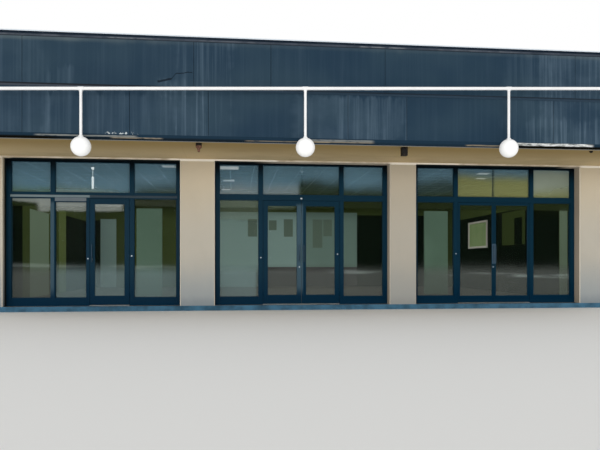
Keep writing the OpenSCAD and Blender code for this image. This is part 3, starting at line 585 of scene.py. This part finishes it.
# Mesh helpers
def solidBoxes(node):
    # the box of each separate solid in a node, told apart by the corners that its faces share
    mesh = nodes[node].data
    keys = [tuple(round(c, 5) for c in vertex.co) for vertex in mesh.vertices]
    leader = {key: key for key in keys}

    def find(key):
        while leader[key] != key:
            leader[key] = leader[leader[key]]
            key = leader[key]
        return key

    for face in mesh.polygons:
        corners = [keys[index] for index in face.vertices]
        for key in corners[1:]:
            leader[find(key)] = find(corners[0])
    groups = {}
    for key in leader:
        groups.setdefault(find(key), []).append(key)
    boxes = [(Vector([min(ends) for ends in zip(*group)]), Vector([max(ends) for ends in zip(*group)]))
             for group in groups.values()]
    return sorted(boxes, key=lambda box: (round(box[0].x, 3), round(box[0].z, 3)))


def longest(node, axis):
    return max(solidBoxes(node), key=lambda box: box[1][axis] - box[0][axis])


def seamPlaces(node):
    return [low.x for low, high in solidBoxes(node)][1:]


def barInto(mesh, low, high, edge):
    # a bar between two corners with its edges eased
    made = bmesh.ops.create_cube(mesh, size=1.0)["verts"]
    for vertex in made:
        for axis in range(3):
            vertex.co[axis] = sorted((low[axis], high[axis]))[vertex.co[axis] > 0]
    edges = {e for vertex in made for e in vertex.link_edges}
    bmesh.ops.bevel(mesh, geom=list(edges), offset=edge, segments=1, affect="EDGES", profile=0.5)


def skinInto(mesh, rings, closed=False):
    # rings of points joined one to the next; closed joins the last to the first, else both ends are capped
    made = [[mesh.verts.new(point) for point in ring] for ring in rings]
    for first, second in zip(made, made[1:] + made[:1] if closed else made[1:]):
        for step in range(len(first)):
            after = (step + 1) % len(first)
            mesh.faces.new((first[step], first[after], second[after], second[step]))
    if not closed:
        mesh.faces.new(made[0])
        mesh.faces.new(made[-1][::-1])


def across(pair, depth, axis):
    # a point from its place along an axis and its places on the other two, in turn
    return Vector((*pair[:axis], depth, *pair[axis:]))


def runInto(mesh, outline, start, end, axis):
    # an outline run straight along an axis
    skinInto(mesh, [[across(point, place, axis) for point in outline] for place in (start, end)])


def sweepInto(mesh, path, outline):
    # an outline of (out, up) points along a level path, mitred; out is to the right of the way it goes
    rings = []
    for index, point in enumerate(path):
        normals = []
        for a, b in ((index - 1, index), (index, index + 1)):
            if a >= 0 and b < len(path):
                way = (Vector(path[b]) - Vector(path[a])).normalized()
                normals.append(Vector((way.y, -way.x, 0)))
        mitre = normals[0]
        if len(normals) == 2:
            mitre = (normals[0] + normals[1]) / (1 + normals[0].dot(normals[1]))
        rings.append([Vector(point) + mitre * out + Vector((0, 0, up)) for out, up in outline])
    skinInto(mesh, rings)


def mitreInto(mesh, low, high, depth, outline, axis=1):
    # a mitred frame round a rectangle that faces along an axis; outline points are (inwards, along it)
    rings = []
    for a, b, sideA, sideB in ((low[0], low[1], 1, 1), (high[0], low[1], -1, 1),
                               (high[0], high[1], -1, -1), (low[0], high[1], 1, -1)):
        rings.append([across((a + sideA * inwards, b + sideB * inwards), depth + along, axis)
                      for inwards, along in outline])
    skinInto(mesh, rings, True)


def spinInto(mesh, outline, centre, steps=16, axis=(0, 0, 1)):
    # (radius, height) points turned about an axis through centre; radius 0 closes an end
    turn = Vector((0, 0, 1)).rotation_difference(Vector(axis))
    rings = []
    for radius, height in outline:
        ring = []
        for step in range(steps if radius else 1):
            angle = 2 * math.pi * step / steps
            point = Vector((radius * math.cos(angle), radius * math.sin(angle), height))
            ring.append(mesh.verts.new(Vector(centre) + turn @ point))
        rings.append(ring)
    for first, second in zip(rings, rings[1:]):
        for step in range(steps):
            after = (step + 1) % steps
            corners = [first[step % len(first)], first[after % len(first)],
                       second[after % len(second)], second[step % len(second)]]
            mesh.faces.new(list(dict.fromkeys(corners)))


def dome(radius, height):  # a round screw head's outline
    return [(radius, 0), (radius * 0.92, height * 0.5), (radius * 0.6, height * 0.9), (0, height)]


def objectFrom(name, data, place=(0, 0, 0), turn=(0, 0, 0)):
    made = bpy.data.objects.new(name, data)
    made.location = place
    made.rotation_euler = [math.radians(angle) for angle in turn]
    bpy.context.scene.collection.objects.link(made)
    return made


def pieceFrom(mesh, name, finish, body="building", stands=(), smooth=False):
    bmesh.ops.recalc_face_normals(mesh, faces=mesh.faces)
    data = bpy.data.meshes.new(name)
    mesh.to_mesh(data)
    mesh.free()
    data.materials.append(finish)
    if smooth:
        data.polygons.foreach_set("use_smooth", [True] * len(data.polygons))
    piece = objectFrom(name, data)
    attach(piece, body)
    if stands:
        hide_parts(*stands)


def barsPiece(name, boxes, edge, finish, body="building"):
    mesh = bmesh.new()
    for low, high in boxes:
        barInto(mesh, low, high, edge)
    pieceFrom(mesh, name, finish, body)


def turnedPiece(name, outline, places, steps, finish, body="building", smooth=False, axis=(0, -1, 0)):
    # the same outline turned at every place, towards the street unless an axis is given
    mesh = bmesh.new()
    for place in places:
        spinInto(mesh, outline, place, steps, axis)
    pieceFrom(mesh, name, finish, body, smooth=smooth)


def dress(finish, *names):
    for name in names:
        for spot in nodes[name].material_slots:
            spot.material = finish
    return finish


# Places read from the frame
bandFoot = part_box("fascia_band")[0].z
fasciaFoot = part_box("fascia_lower")[0].z
fasciaLow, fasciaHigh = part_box("fascia_upper")
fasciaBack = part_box("fascia_backing")[0].y
courseJoint = (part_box("fascia_lower")[1].z + fasciaLow.z) / 2
copingLow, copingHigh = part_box("fascia_coping")
ceilingLow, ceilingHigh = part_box("ceiling")
frameFront = longest("frame_left", 2)[0].y
railBack = longest("light_rail", 0)[1].y
piers = ["left_end_pier", "left_pier", "right_pier", "right_end_pier"]
doors = ["door_left", "door_middle_a", "door_middle_b", "door_right_a", "door_right_b"]

# CAD nodes that keep their shape
cladding = dress(claddingFinish(), "fascia_upper", "fascia_lower", "fascia_returns")
dress(pierFinish(), *piers, "front_beam")
dress(wallFinish(), "left_wall", "right_wall", "back_wall")
dress(slabFinish(), "floor_slab")
felt = dress(feltFinish(), "roof_deck")
capMetal = dress(sheetFinish("cap_metal", (172, 174, 173), (128, 130, 129), 0.45), "wall_caps")
dress(ceilingFinish(), "ceiling")
dress(boardFinish("partition_board", (126, 160, 138), (112, 144, 122)), "partitions")
trimPaint = dress(trimFinish(), "wall_trim")
dress(soffitFinish(), "soffit")
canopySteel = sheetFinish("canopy_steel", (132, 136, 138), (100, 102, 102), 0.5, 0.5, 0.3)
dress(canopySteel, "canopy_frame")
dress(backingFinish(), "fascia_backing")
dress(bandFinish(), "fascia_band")
copingMetal = sheetFinish("coping_metal", (8, 24, 38), (34, 46, 58), 0.5, 0.06, 0.0, 0.6)
dress(copingMetal, "fascia_coping")
framePaint = dress(frameFinish(), "frame_left", "frame_middle", "frame_right", *doors)
railPaint = dress(railFinish(), "light_rail")
lampPaint = dress(lampFinish(), "soffit_lamps")
dress(brushedFinish("pull_metal", (52, 70, 84), (34, 50, 62), 0.34), *[door + "_pull" for door in doors])
lockMetal = brushedFinish("lock_metal", (176, 184, 190), (132, 140, 146), 0.3)
platePaint = sheetFinish("plate_paint", (66, 92, 112), (92, 112, 126), 0.45, 0.2)
thresholdMetal = brushedFinish("threshold_metal", (206, 208, 208), (160, 161, 160), 0.35)
dress(glassFinish(), "shopfront_glass", *[door + "_glass" for door in doors])
opalGlass = opalFinish()
print("finishes on the frame's own pieces")


# Fascia trims
def trimRound(name, wide, front, z, outline, finish):
    # a trim round the canopy's front and both ends; outline points are (out, up)
    back = copingHigh.y
    mesh = bmesh.new()
    sweepInto(mesh, [(-wide, back, z), (-wide, front, z), (wide, front, z), (wide, back, z)], outline)
    pieceFrom(mesh, name, finish)


def copingTrims():
    lip = [(0.005, -0.020), (0.005, -0.001), (0.002, 0.003), (-0.036, 0.003), (-0.036, 0.0002),
           (0.0002, 0.0002), (0.0002, -0.020)]
    strap = {"pitch": 2.6, "half": 0.045, "proud": 0.003, "lift": 0.0002, "foot": 0.004, "head": 0.021,
             "end": 1}
    lipPaint = sheetFinish("lip_paint", (206, 214, 222), (178, 186, 192), 0.4, 0.2, 0.0, 0.35)
    trimRound("coping_lip", copingHigh.x, copingLow.y, copingHigh.z, lip, lipPaint)
    outer, inner = copingLow.y - strap["proud"], copingLow.y - strap["lift"]
    foot, head = copingLow.z + strap["foot"], copingHigh.z - strap["head"]
    mesh = bmesh.new()
    place = copingLow.x + strap["pitch"]
    while place < copingHigh.x - strap["end"]:
        runInto(mesh, [(outer, foot), (outer, head), (inner, head), (inner, foot)],
                place - strap["half"], place + strap["half"], 0)
        place += strap["pitch"]
    pieceFrom(mesh, "coping_straps", copingMetal)


def claddingTrims():
    flashing = [(0.0004, 0.022), (0.004, 0.019), (0.004, -0.040), (0.008, -0.048), (0.006, -0.050),
                (0.0004, -0.044)]
    drip = [(0.0004, 0.110), (0.005, 0.107), (0.005, 0.004), (0.011, -0.006), (0.009, -0.008),
            (0.003, -0.0004), (-0.019, -0.0004), (-0.019, -0.003), (0.001, -0.003), (0.0004, 0.001)]
    wide, front = fasciaHigh.x, fasciaLow.y
    trimRound("course_flashing", wide, front, courseJoint, flashing, flashingFinish())
    trimRound("fascia_drip", wide, front, fasciaFoot, drip, dripFinish())


def pierTrims():
    # the pale trim is fuller over the piers
    shape = {"proud": 0.018, "lift": 0.0003, "height": 0.052, "edge": 0.003, "gap": 0.0005}
    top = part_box("wall_trim")[1].z - shape["gap"]
    boxes = [((low.x, low.y - shape["proud"], top - shape["height"]), (high.x, low.y - shape["lift"], top))
             for low, high in map(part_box, piers)]
    barsPiece("pier_trims", boxes, shape["edge"], trimPaint)


def claddingScrews():
    screw = {"radius": 0.008, "height": 0.003, "pitch": 0.42, "inset": 0.035, "foot": 0.14, "head": 0.075,
             "lift": 0.0002, "rows": 3, "steps": 8}
    places = []
    for low, high in solidBoxes("fascia_upper") + solidBoxes("fascia_lower"):
        left, right = low.x + screw["inset"], high.x - screw["inset"]
        foot, head = low.z + screw["foot"], high.z - screw["head"]
        count, rows = max(2, round((right - left) / screw["pitch"])), screw["rows"]
        places += [(left + (right - left) / count * i, z) for i in range(count + 1) for z in (foot, head)]
        places += [(x, foot + (head - foot) / rows * i) for x in (left, right) for i in range(1, rows)]
    places = [(x, fasciaLow.y - screw["lift"], z) for x, z in places]
    turnedPiece("cladding_screws", dome(screw["radius"], screw["height"]), places, screw["steps"], cladding,
                smooth=True)


# Glazing beads and gaskets
def glazing():
    bead = {"bite": 0.0123, "wide": 0.006, "lift": 0.0003, "deep": 0.010, "doorDeep": 0.007}
    gasket = {"edge": 0.0062, "middle": 0.0072, "end": 0.0082}
    beadPaint = sheetFinish("bead_paint", (24, 60, 78), (40, 76, 94), 0.4, 0.05)
    gasketRubber = sheetFinish("gasket_rubber", (16, 20, 22), (30, 34, 36), 0.7, 0.1)

    def glaze(name, panes, deep, body):
        beads, gaskets = bmesh.new(), bmesh.new()
        bite, wide = bead["bite"], bead["wide"]
        for low, high in panes:
            inner, outer = (low.x + bite, low.z + bite), (high.x - bite, high.z - bite)
            for face, way in ((low.y, -1), (high.y, 1)):
                lift, out = bead["lift"] * way, deep * way
                beadLine = [(0, lift), (wide, lift), (wide, out * 0.3), (wide * 0.72, out * 0.8),
                            (wide * 0.35, out), (0, out)]
                gasketLine = [(gasket["edge"], lift), (gasket["end"], lift), (gasket["middle"], out * 0.3),
                              (gasket["edge"], out * 0.3)]
                mitreInto(beads, inner, outer, face, beadLine)
                mitreInto(gaskets, inner, outer, face, gasketLine)
        pieceFrom(beads, name + "_beads", beadPaint, body)
        pieceFrom(gaskets, name + "_gaskets", gasketRubber, body)

    glaze("shopfront", solidBoxes("shopfront_glass"), bead["deep"], "building")
    for door in doors:
        glaze(door, [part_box(door + "_glass")], bead["doorDeep"], door)


# Locks, plates, the door sensor and the covers in the left bay
def doorLocks():
    lock = {"outline": [(0, 0), (0.016, 0), (0.016, 0.0018), (0.01376, 0.003), (0.01, 0.003), (0.009, 0.008),
                        (0.0072, 0.009), (0, 0.009)], "lift": 0.0003, "post": 0.045, "steps": 20}
    # the door a lock is measured from, which edge of it, and height: on the posts, then on the stiles
    posts = [("door_left", 0, 1.23), ("door_left", 1, 1.295), ("door_middle_a", 0, 1.258),
             ("door_right_a", 0, 1.36)]
    stiles = [("door_left", 0, 1.216), ("door_middle_b", 1, 1.345), ("door_middle_a", 1, 1.03),
              ("door_right_a", 1, 1.03)]
    places = {"building": []}
    for door, edge, z in posts:
        places["building"].append((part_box(door)[edge].x + (2 * edge - 1) * lock["post"], z))
    for door, edge, z in stiles:
        x = (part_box(door)[edge].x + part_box(door + "_glass")[edge].x) / 2
        places.setdefault(door, []).append((x, z))
    for body, spots in places.items():
        turnedPiece("lock_cylinders_" + body, lock["outline"],
                    [(x, frameFront - lock["lift"], z) for x, z in spots], lock["steps"], lockMetal,
                    body)


def pushPlates():
    plate = {"near": 0.002, "far": 0.044, "foot": 1.11, "head": 1.61, "thick": 0.002, "lift": 0.0002,
             "edge": 0.0008}
    for door, side, way in (("door_right_a", 1, -1), ("door_right_b", 0, 1)):
        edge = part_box(door)[side].x
        box = ((edge + way * plate["near"], frameFront - plate["thick"], plate["foot"]),
               (edge + way * plate["far"], frameFront - plate["lift"], plate["head"]))
        barsPiece(door + "_plate", [box], plate["edge"], platePaint, door)


def doorSensor():
    sensor = {"outline": [(0, 0), (0.03, 0), (0.03, 0.008), (0.027, 0.015), (0.018, 0.02), (0, 0.021)],
              "z": 2.70, "lift": 0.0002, "steps": 24}
    x = (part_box("door_middle_a")[1].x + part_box("door_middle_b")[0].x) / 2
    turnedPiece("door_sensor", sensor["outline"], [(x, frameFront - sensor["lift"], sensor["z"])],
                sensor["steps"], lockMetal, smooth=True)


def leftBayCovers():
    # a strip along the bar, and a pale plate over the pane beside the single door, with a dark lip under it
    # that is a painted shadow line
    cover = {"inset": 0.09, "foot": 2.670, "head": 2.724, "lap": 0.008, "lipFoot": 2.556, "lipHead": 2.5797,
             "paneFoot": 2.580, "paneHead": 2.664, "thick": 0.004, "lift": 0.0002, "edge": 0.0015}
    low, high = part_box("frame_left")
    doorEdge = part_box("door_left")[0].x
    pane = [box for box in solidBoxes("shopfront_glass") if box[1].x < doorEdge and box[0].z < 1][-1]
    start, end = pane[0].x + cover["lap"], pane[1].x - cover["lap"]
    panePaint = sheetFinish("pane_cover_paint", (98, 109, 116), (114, 120, 126), 0.5, 0.1)
    # the pane cover's lip in frame paint is a painted shadow line under the plate
    rows = [("bar_cover", low.x + cover["inset"], high.x - cover["inset"], "foot", "head", coverFinish()),
            ("pane_cover", start, end, "paneFoot", "paneHead", panePaint),
            ("pane_cover_shadow_lip", start, end, "lipFoot", "lipHead", framePaint)]
    for name, left, right, foot, head, finish in rows:
        box = ((left, frameFront - cover["thick"], cover[foot]),
               (right, frameFront - cover["lift"], cover[head]))
        barsPiece(name, [box], cover["edge"], finish)


def ribbedThresholds():
    shape = {"ribs": 7, "rise": 0.003, "ramp": 0.016, "toe": 0.002}
    mesh = bmesh.new()
    for low, high in solidBoxes("thresholds"):
        valley = high.z - shape["rise"]
        first, last = low.y + shape["ramp"], high.y - shape["ramp"]
        step = (last - first) / shape["ribs"]
        outline = [(low.y, low.z), (low.y, low.z + shape["toe"]), (first, valley)]
        ridge = [(0.2, valley), (0.35, high.z), (0.75, high.z), (0.9, valley)]
        for rib in range(shape["ribs"]):
            outline += [(first + (rib + share) * step, z) for share, z in ridge]
        outline += [(last, valley), (high.y, low.z + shape["toe"]), (high.y, low.z)]
        runInto(mesh, outline, low.x, high.x, 0)
    pieceFrom(mesh, "ribbed_thresholds", thresholdMetal, stands=["thresholds"])


# Light rail fittings and globes
def railFittings():
    collar = {"half": 0.055, "thick": 0.006, "ease": 0.003, "step": 0.002, "foot": -0.07, "steps": 32}
    cap = {"over": 0.003, "half": 0.012, "back": 0.002}
    screw = {"outline": dome(0.005, 0.003), "out": 0.37, "lift": 0.0002, "steps": 10}
    # roses are the thin solids of the rail and rods the tall ones, apart from the rail itself
    thin, tall = 0.02, 0.5
    start, end = longest("light_rail", 0)
    solids = solidBoxes("light_rail")
    roses = [box for box in solids if box[1].y - box[0].y < thin]
    rods = [box for box in solids if box[1].z - box[0].z > tall and box[0] != start]
    radius, middle = (end.y - start.y) / 2, (end.y + start.y) / 2
    slope = (end.z - start.z - 2 * radius) / (end.x - start.x)
    along = Vector((1, 0, slope)).normalized()

    def onRail(x):
        return Vector((x, middle, start.z + radius + (x - start.x) * slope))

    mesh = bmesh.new()
    half, ease, foot, steps = [collar[key] for key in ("half", "ease", "foot", "steps")]
    outer = radius + collar["thick"]
    shoulder = outer - collar["step"]
    for low, high in rods:
        x = (low.x + high.x) / 2
        spinInto(mesh, [(radius, -half), (shoulder, -half), (outer, -half + ease), (outer, half - ease),
                        (shoulder, half), (radius, half)], onRail(x), steps, along)
        rod = max(abs(v.co.x - x) for v in nodes["light_rail"].data.vertices
                  if low.x < v.co.x < high.x and v.co.z > high.z - half)
        neck = rod + collar["thick"] * 0.6
        spinInto(mesh, [(rod, foot), (neck - 0.001, foot), (neck, foot + ease), (neck, -radius * 0.8)],
                 onRail(x), steps)
    outer, half = radius + cap["over"], cap["half"]
    for x, way in ((start.x, -1), (end.x, 1)):
        spinInto(mesh, [(0, half * 0.6), (outer * 0.8, half * 0.6), (outer, half * 0.3), (outer, -half),
                        (radius, -half)], onRail(x) - Vector((way * cap["back"], 0, 0)), steps, along * way)
    for low, high in roses:
        out = (high.x - low.x) * screw["out"]
        centre = Vector(((low.x + high.x) / 2, low.y - screw["lift"], (low.z + high.z) / 2))
        for angle in [math.radians(45 + 90 * quarter) for quarter in range(4)]:
            spot = centre + Vector((math.cos(angle) * out, 0, math.sin(angle) * out))
            spinInto(mesh, screw["outline"], spot, screw["steps"], (0, -1, 0))
    pieceFrom(mesh, "rail_fittings", railPaint)


def globeShades():
    shape = {"arcs": 26, "steps": 48, "ringSteps": 40, "half": 0.002}
    shades, rings = bmesh.new(), bmesh.new()
    for low, high in solidBoxes("globes"):
        radius = (high.x - low.x) / 2
        centre = Vector(((low.x + high.x) / 2, (low.y + high.y) / 2, low.z + radius))
        neck = high.z - centre.z
        start = math.acos(min(1, neck / radius))
        angles = [start + (math.pi - start) * step / shape["arcs"] for step in range(shape["arcs"])]
        outline = [(radius * math.sin(angle), radius * math.cos(angle)) for angle in angles]
        spinInto(shades, [(0, neck), *outline, (0, -radius)], centre, shape["steps"])
        rim, half = radius * math.sin(start), shape["half"]
        spinInto(rings, [(rim * 0.98, neck - half), (rim + 0.002, neck - half), (rim + 0.003, neck),
                         (rim + 0.001, neck + half), (rim * 0.98, neck + half), (rim * 0.98, neck - half)],
                 centre, shape["ringSteps"])
    pieceFrom(shades, "globe_shades", opalGlass, stands=["globes"], smooth=True)
    pieceFrom(rings, "globe_rings", railPaint, smooth=True)


# Roof and wall details
def capStraps():
    strap = {"half": 0.04, "proud": 0.002, "pitch": 2.9, "drop": 0.012, "edge": 0.0012}
    boxes = []
    for low, high in solidBoxes("wall_caps"):
        axis = 0 if high.x - low.x > high.y - low.y else 1
        length = high[axis] - low[axis]
        count = round(length / strap["pitch"])
        for index in range(1, count):
            place = low[axis] + length * index / count
            start, end = low.copy(), high.copy()
            start[axis], end[axis] = place - strap["half"], place + strap["half"]
            start[1 - axis] -= strap["proud"]
            end[1 - axis] += strap["proud"]
            start.z, end.z = high.z - strap["drop"], high.z + strap["proud"]
            boxes.append((start, end))
    barsPiece("cap_straps", boxes, strap["edge"], capMetal)


def feltUpstands():
    # outlines are (out from the wall, up from the deck); the roof side is to the right of the path
    upstand = [(0.0005, 0.0005), (0.06, 0.0005), (0.06, 0.004), (0.006, 0.06), (0.006, 0.2), (0.0005, 0.2)]
    bar = [(0.006, 0.17), (0.009, 0.17), (0.009, 0.204), (0.0005, 0.204), (0.0005, 0.2005), (0.006, 0.2005)]
    low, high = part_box("roof_deck")
    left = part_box("left_wall")[1].x
    front, back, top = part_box("left_wall")[0].y, high.y, high.z
    path = [(left, front, top), (left, back, top), (-left, back, top), (-left, front, top)]
    for name, outline, finish, slot in (("felt_upstands", upstand, felt, "roof_felt"),
                                        ("termination_bars", bar, capMetal, "cap_metal")):
        mesh = bmesh.new()
        sweepInto(mesh, path, outline)
        pieceFrom(mesh, name, finish)


def roofDrains():
    drain = {"outline": [(0, 0.0005), (0.16, 0.0005), (0.16, 0.006), (0.14, 0.014), (0.105, 0.010),
                         (0.095, 0.010), (0, 0.008)], "places": [(-3.9, 4.9), (3.9, 4.9)],
             "radius": 0.095, "height": 0.12, "ribs": 16, "arcs": 6, "half": 0.005, "thick": 0.006}
    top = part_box("roof_deck")[1].z
    mesh = bmesh.new()
    for place in drain["places"]:
        centre = Vector((*place, top))
        spinInto(mesh, drain["outline"], centre, 32)
        for rib in range(drain["ribs"]):
            angle = 2 * math.pi * rib / drain["ribs"]
            way = Vector((math.cos(angle), math.sin(angle), 0))
            side = Vector((-way.y, way.x, 0)) * drain["half"]
            rings = []
            for step in range(drain["arcs"] + 1):
                turn = math.pi / 2 * step / drain["arcs"]
                out, up = drain["radius"] * math.cos(turn), drain["height"] * math.sin(turn)
                outer = centre + way * (out + drain["thick"]) + Vector((0, 0, up + 0.008))
                inner = centre + way * out + Vector((0, 0, up + 0.003))
                rings.append([outer - side, outer + side, inner + side, inner - side])
            skinInto(mesh, rings)
    pieceFrom(mesh, "roof_drains", canopySteel)


def controlJoints():
    # slim beads that divide the render of the side walls
    joint = {"half": 0.007, "proud": 0.003, "foot": 0.16, "head": 5.10, "edge": 0.001,
             "places": (-3.0, 0.0, 3.0)}
    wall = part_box("back_wall")[1].x
    boxes = [((side * wall, y - joint["half"], joint["foot"]),
              (side * (wall + joint["proud"]), y + joint["half"], joint["head"]))
             for side in (-1, 1) for y in joint["places"]]
    barsPiece("control_joints", boxes, joint["edge"], trimPaint)


# Ceiling grid, lights, pendants and the framed board
def ceilingGrid(gridPaint):
    grid = {"pitch": 0.6, "half": 0.012, "top": 0.7, "left": -7.2, "front": -5.4, "end": 0.01, "edge": 0.02}
    mesh = bmesh.new()
    # for each way: the axis the bars run along, their first place, lift and drop
    for axis, first, lift, drop in ((1, grid["left"], 0.0003, 0.006), (0, grid["front"], 0.0004, 0.0048)):
        other, half = 1 - axis, grid["half"]
        count = int((ceilingHigh[other] - first - grid["edge"]) / grid["pitch"]) + 1
        for i in range(count):
            place = first + grid["pitch"] * i
            runInto(mesh, [(place - half, ceilingLow.z - lift), (place + half, ceilingLow.z - lift),
                           (place + half * grid["top"], ceilingLow.z - drop),
                           (place - half * grid["top"], ceilingLow.z - drop)],
                    ceilingLow[axis] + grid["end"], ceilingHigh[axis] - grid["end"], axis)
    pieceFrom(mesh, "ceiling_grid", gridPaint)


def troffers(gridPaint):
    shape = {"outline": [(0, -0.0065), (0.02, -0.0065), (0.02, -0.012), (0.008, -0.016), (0, -0.012)],
             "rim": 0.02, "foot": -0.011, "head": -0.0065, "edge": 0.001}
    # middle along and across, size along and across
    lights = [(-3.3, -5.28, 0.35, 0.4), (-1.85, -5.2, 0.55, 0.55), (-1.85, -2.8, 0.35, 0.35),
              (-1.95, -0.6, 0.3, 0.3), (4.9, -4.9, 0.35, 0.3), (5.2, -4.0, 0.3, 0.25)]
    rims, panels = bmesh.new(), []
    rim, z = shape["rim"], ceilingLow.z
    for x, y, wide, long in lights:
        left, right, front, back = x - wide / 2, x + wide / 2, y - long / 2, y + long / 2
        mitreInto(rims, (left, front), (right, back), z, shape["outline"], 2)
        panels.append(((left + rim, front + rim, z + shape["foot"]),
                       (right - rim, back - rim, z + shape["head"])))
    pieceFrom(rims, "troffer_rims", gridPaint)
    barsPiece("troffer_panels", panels, shape["edge"], lightFinish("troffer_light", 0.9))


def pendants():
    # seen through the upper panes: a rose with a cord, and a slim tube
    lamp = {"rose": 0.034, "cord": 0.005, "tube": 0.028, "y": -4.9, "steps": 16}
    pale = lightFinish("pendant_light", 2.0)
    # the pale pendant's rose and cord glow in the pendant light's finish too: a painted highlight
    hung = [("pale_pendant", -5.2, -0.24, -0.54, pale, pale),
            ("dark_pendant", 0.04, -0.12, -0.42, lampPaint, railPaint)]
    rose, cord, tube = lamp["rose"], lamp["cord"], lamp["tube"]
    for name, x, start, end, finish, roseFinish in hung:
        cordLine = [(0, -0.004), (rose, -0.004), (rose, -0.05), (cord, -0.07), (cord, start), (0, start)]
        tubeLine = [(0, start), (tube * 0.8, start), (tube, start - 0.006), (tube, end + 0.01),
                    (tube * 0.7, end), (0, end)]
        for part, line, paint, slot in (("_cord", cordLine, roseFinish, "rail_paint"),
                                        ("_tube", tubeLine, finish, "opal_glass")):
            turnedPiece(name + part, line, [(x, lamp["y"], ceilingLow.z)], lamp["steps"], paint,
                        smooth=True, axis=(0, 0, 1))


def framedBoard():
    board = {"outline": [(0, -0.0005), (0, -0.045), (0.049, -0.045), (0.07, -0.0225), (0.07, -0.0005)],
             "near": 1.25, "far": 3.05, "foot": 1.70, "head": 2.72, "rim": 0.07, "front": 0.016,
             "back": 0.001, "edge": 0.002}
    near, far, foot, head, rim = [board[key] for key in ("near", "far", "foot", "head", "rim")]
    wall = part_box("right_wall")[0].x
    mesh = bmesh.new()
    mitreInto(mesh, (near, foot), (far, head), wall, board["outline"], 0)
    pieceFrom(mesh, "board_frame", trimPaint)
    sheet = ((wall - board["front"], near + rim, foot + rim), (wall - board["back"], far - rim, head - rim))
    boardPaint = boardFinish("board_paint", (176, 202, 142), (134, 168, 108))
    barsPiece("pale_board", [sheet], board["edge"], boardPaint)


copingTrims()
claddingTrims()
pierTrims()
claddingScrews()
print("fascia trims and screws")
glazing()
doorLocks()
pushPlates()
doorSensor()
leftBayCovers()
ribbedThresholds()
print("glazing beads, locks and thresholds")
railFittings()
globeShades()
print("light rail fittings and globes")
capStraps()
feltUpstands()
roofDrains()
controlJoints()
print("roof and wall details")
gridPaint = sheetFinish("grid_paint", (205, 205, 200), (180, 180, 174), 0.5)
ceilingGrid(gridPaint)
troffers(gridPaint)
pendants()
framedBoard()
print("ceiling grid, lights and board")


# Floor, light and camera
def stageAndLight():
    stage = {"size": 150, "pale": (232, 232, 230), "grey": (226, 226, 224), "specular": 0.1}
    mesh = bmesh.new()
    bmesh.ops.create_grid(mesh, x_segments=1, y_segments=1, size=stage["size"])
    data = bpy.data.meshes.new("stage_floor")
    mesh.to_mesh(data)
    mesh.free()
    f = Finish("stage_floor", stage)
    f.start(f.noise(0.3) * 0.1, "pale", "grey")
    data.materials.append(f.close(0.9))
    objectFrom("stage_floor", data)

    world = bpy.data.worlds.new("studio")
    bpy.context.scene.world = world
    sky = Tree(world)
    camera, glossy, through = [sky.node("LightPath", out="Is " + kind + " Ray")
                               for kind in ("Camera", "Glossy", "Transmission")]
    strength = sky.node("MapRange", {}, {0: camera + glossy + through, 3: 0.8, 4: 1.0})
    background = sky.node("Background", {}, {"Color": (1, 1, 1, 1), "Strength": strength})
    sky.node("OutputWorld", {}, {"Surface": background}, None)

    # a soft key light, and a low one that reaches under the canopy
    suns = {"key_light": (0.35, 40, 18, -24), "low_light": (0.75, 20, 3, -6)}
    for name, (strength, angle, height, side) in suns.items():
        lamp = bpy.data.lights.new(name, "SUN")
        lamp.energy = strength
        lamp.angle = math.radians(angle)
        objectFrom(name, lamp, turn=(90 - height, 0, side))


def softLights():
    # light thrown back by the ground before the front, and the shop's own light over its ceiling
    lights = {"ground_light": ((0, -16.3, 0.05), (17, 16), 180, 430),
              "shop_light": ((0, -0.1, ceilingLow.z - 0.03), (14.4, 10.8), 0, 300)}
    for name, (place, size, turn, energy) in lights.items():
        lamp = bpy.data.lights.new(name, "AREA")
        lamp.shape = "RECTANGLE"
        lamp.size, lamp.size_y = size
        lamp.energy = energy
        light = objectFrom(name, lamp, place, (turn, 0, 0))
        light.visible_camera = light.visible_glossy = False


def photoCamera():
    view = {"place": (-1.698, -20.8, 1.12), "turn": -6.06, "lens": 37.2, "sensor": 36, "rise": 0.0638,
            "end": 400}
    data = bpy.data.cameras.new("photo_camera")
    data.lens = view["lens"]
    data.sensor_width = view["sensor"]
    data.shift_y = view["rise"]
    data.clip_end = view["end"]
    bpy.context.scene.camera = objectFrom("photo_camera", data, view["place"], (90, 0, view["turn"]))


stageAndLight()
softLights()
photoCamera()
bpy.context.scene.view_settings.view_transform = "Standard"
print("floor, light and camera")
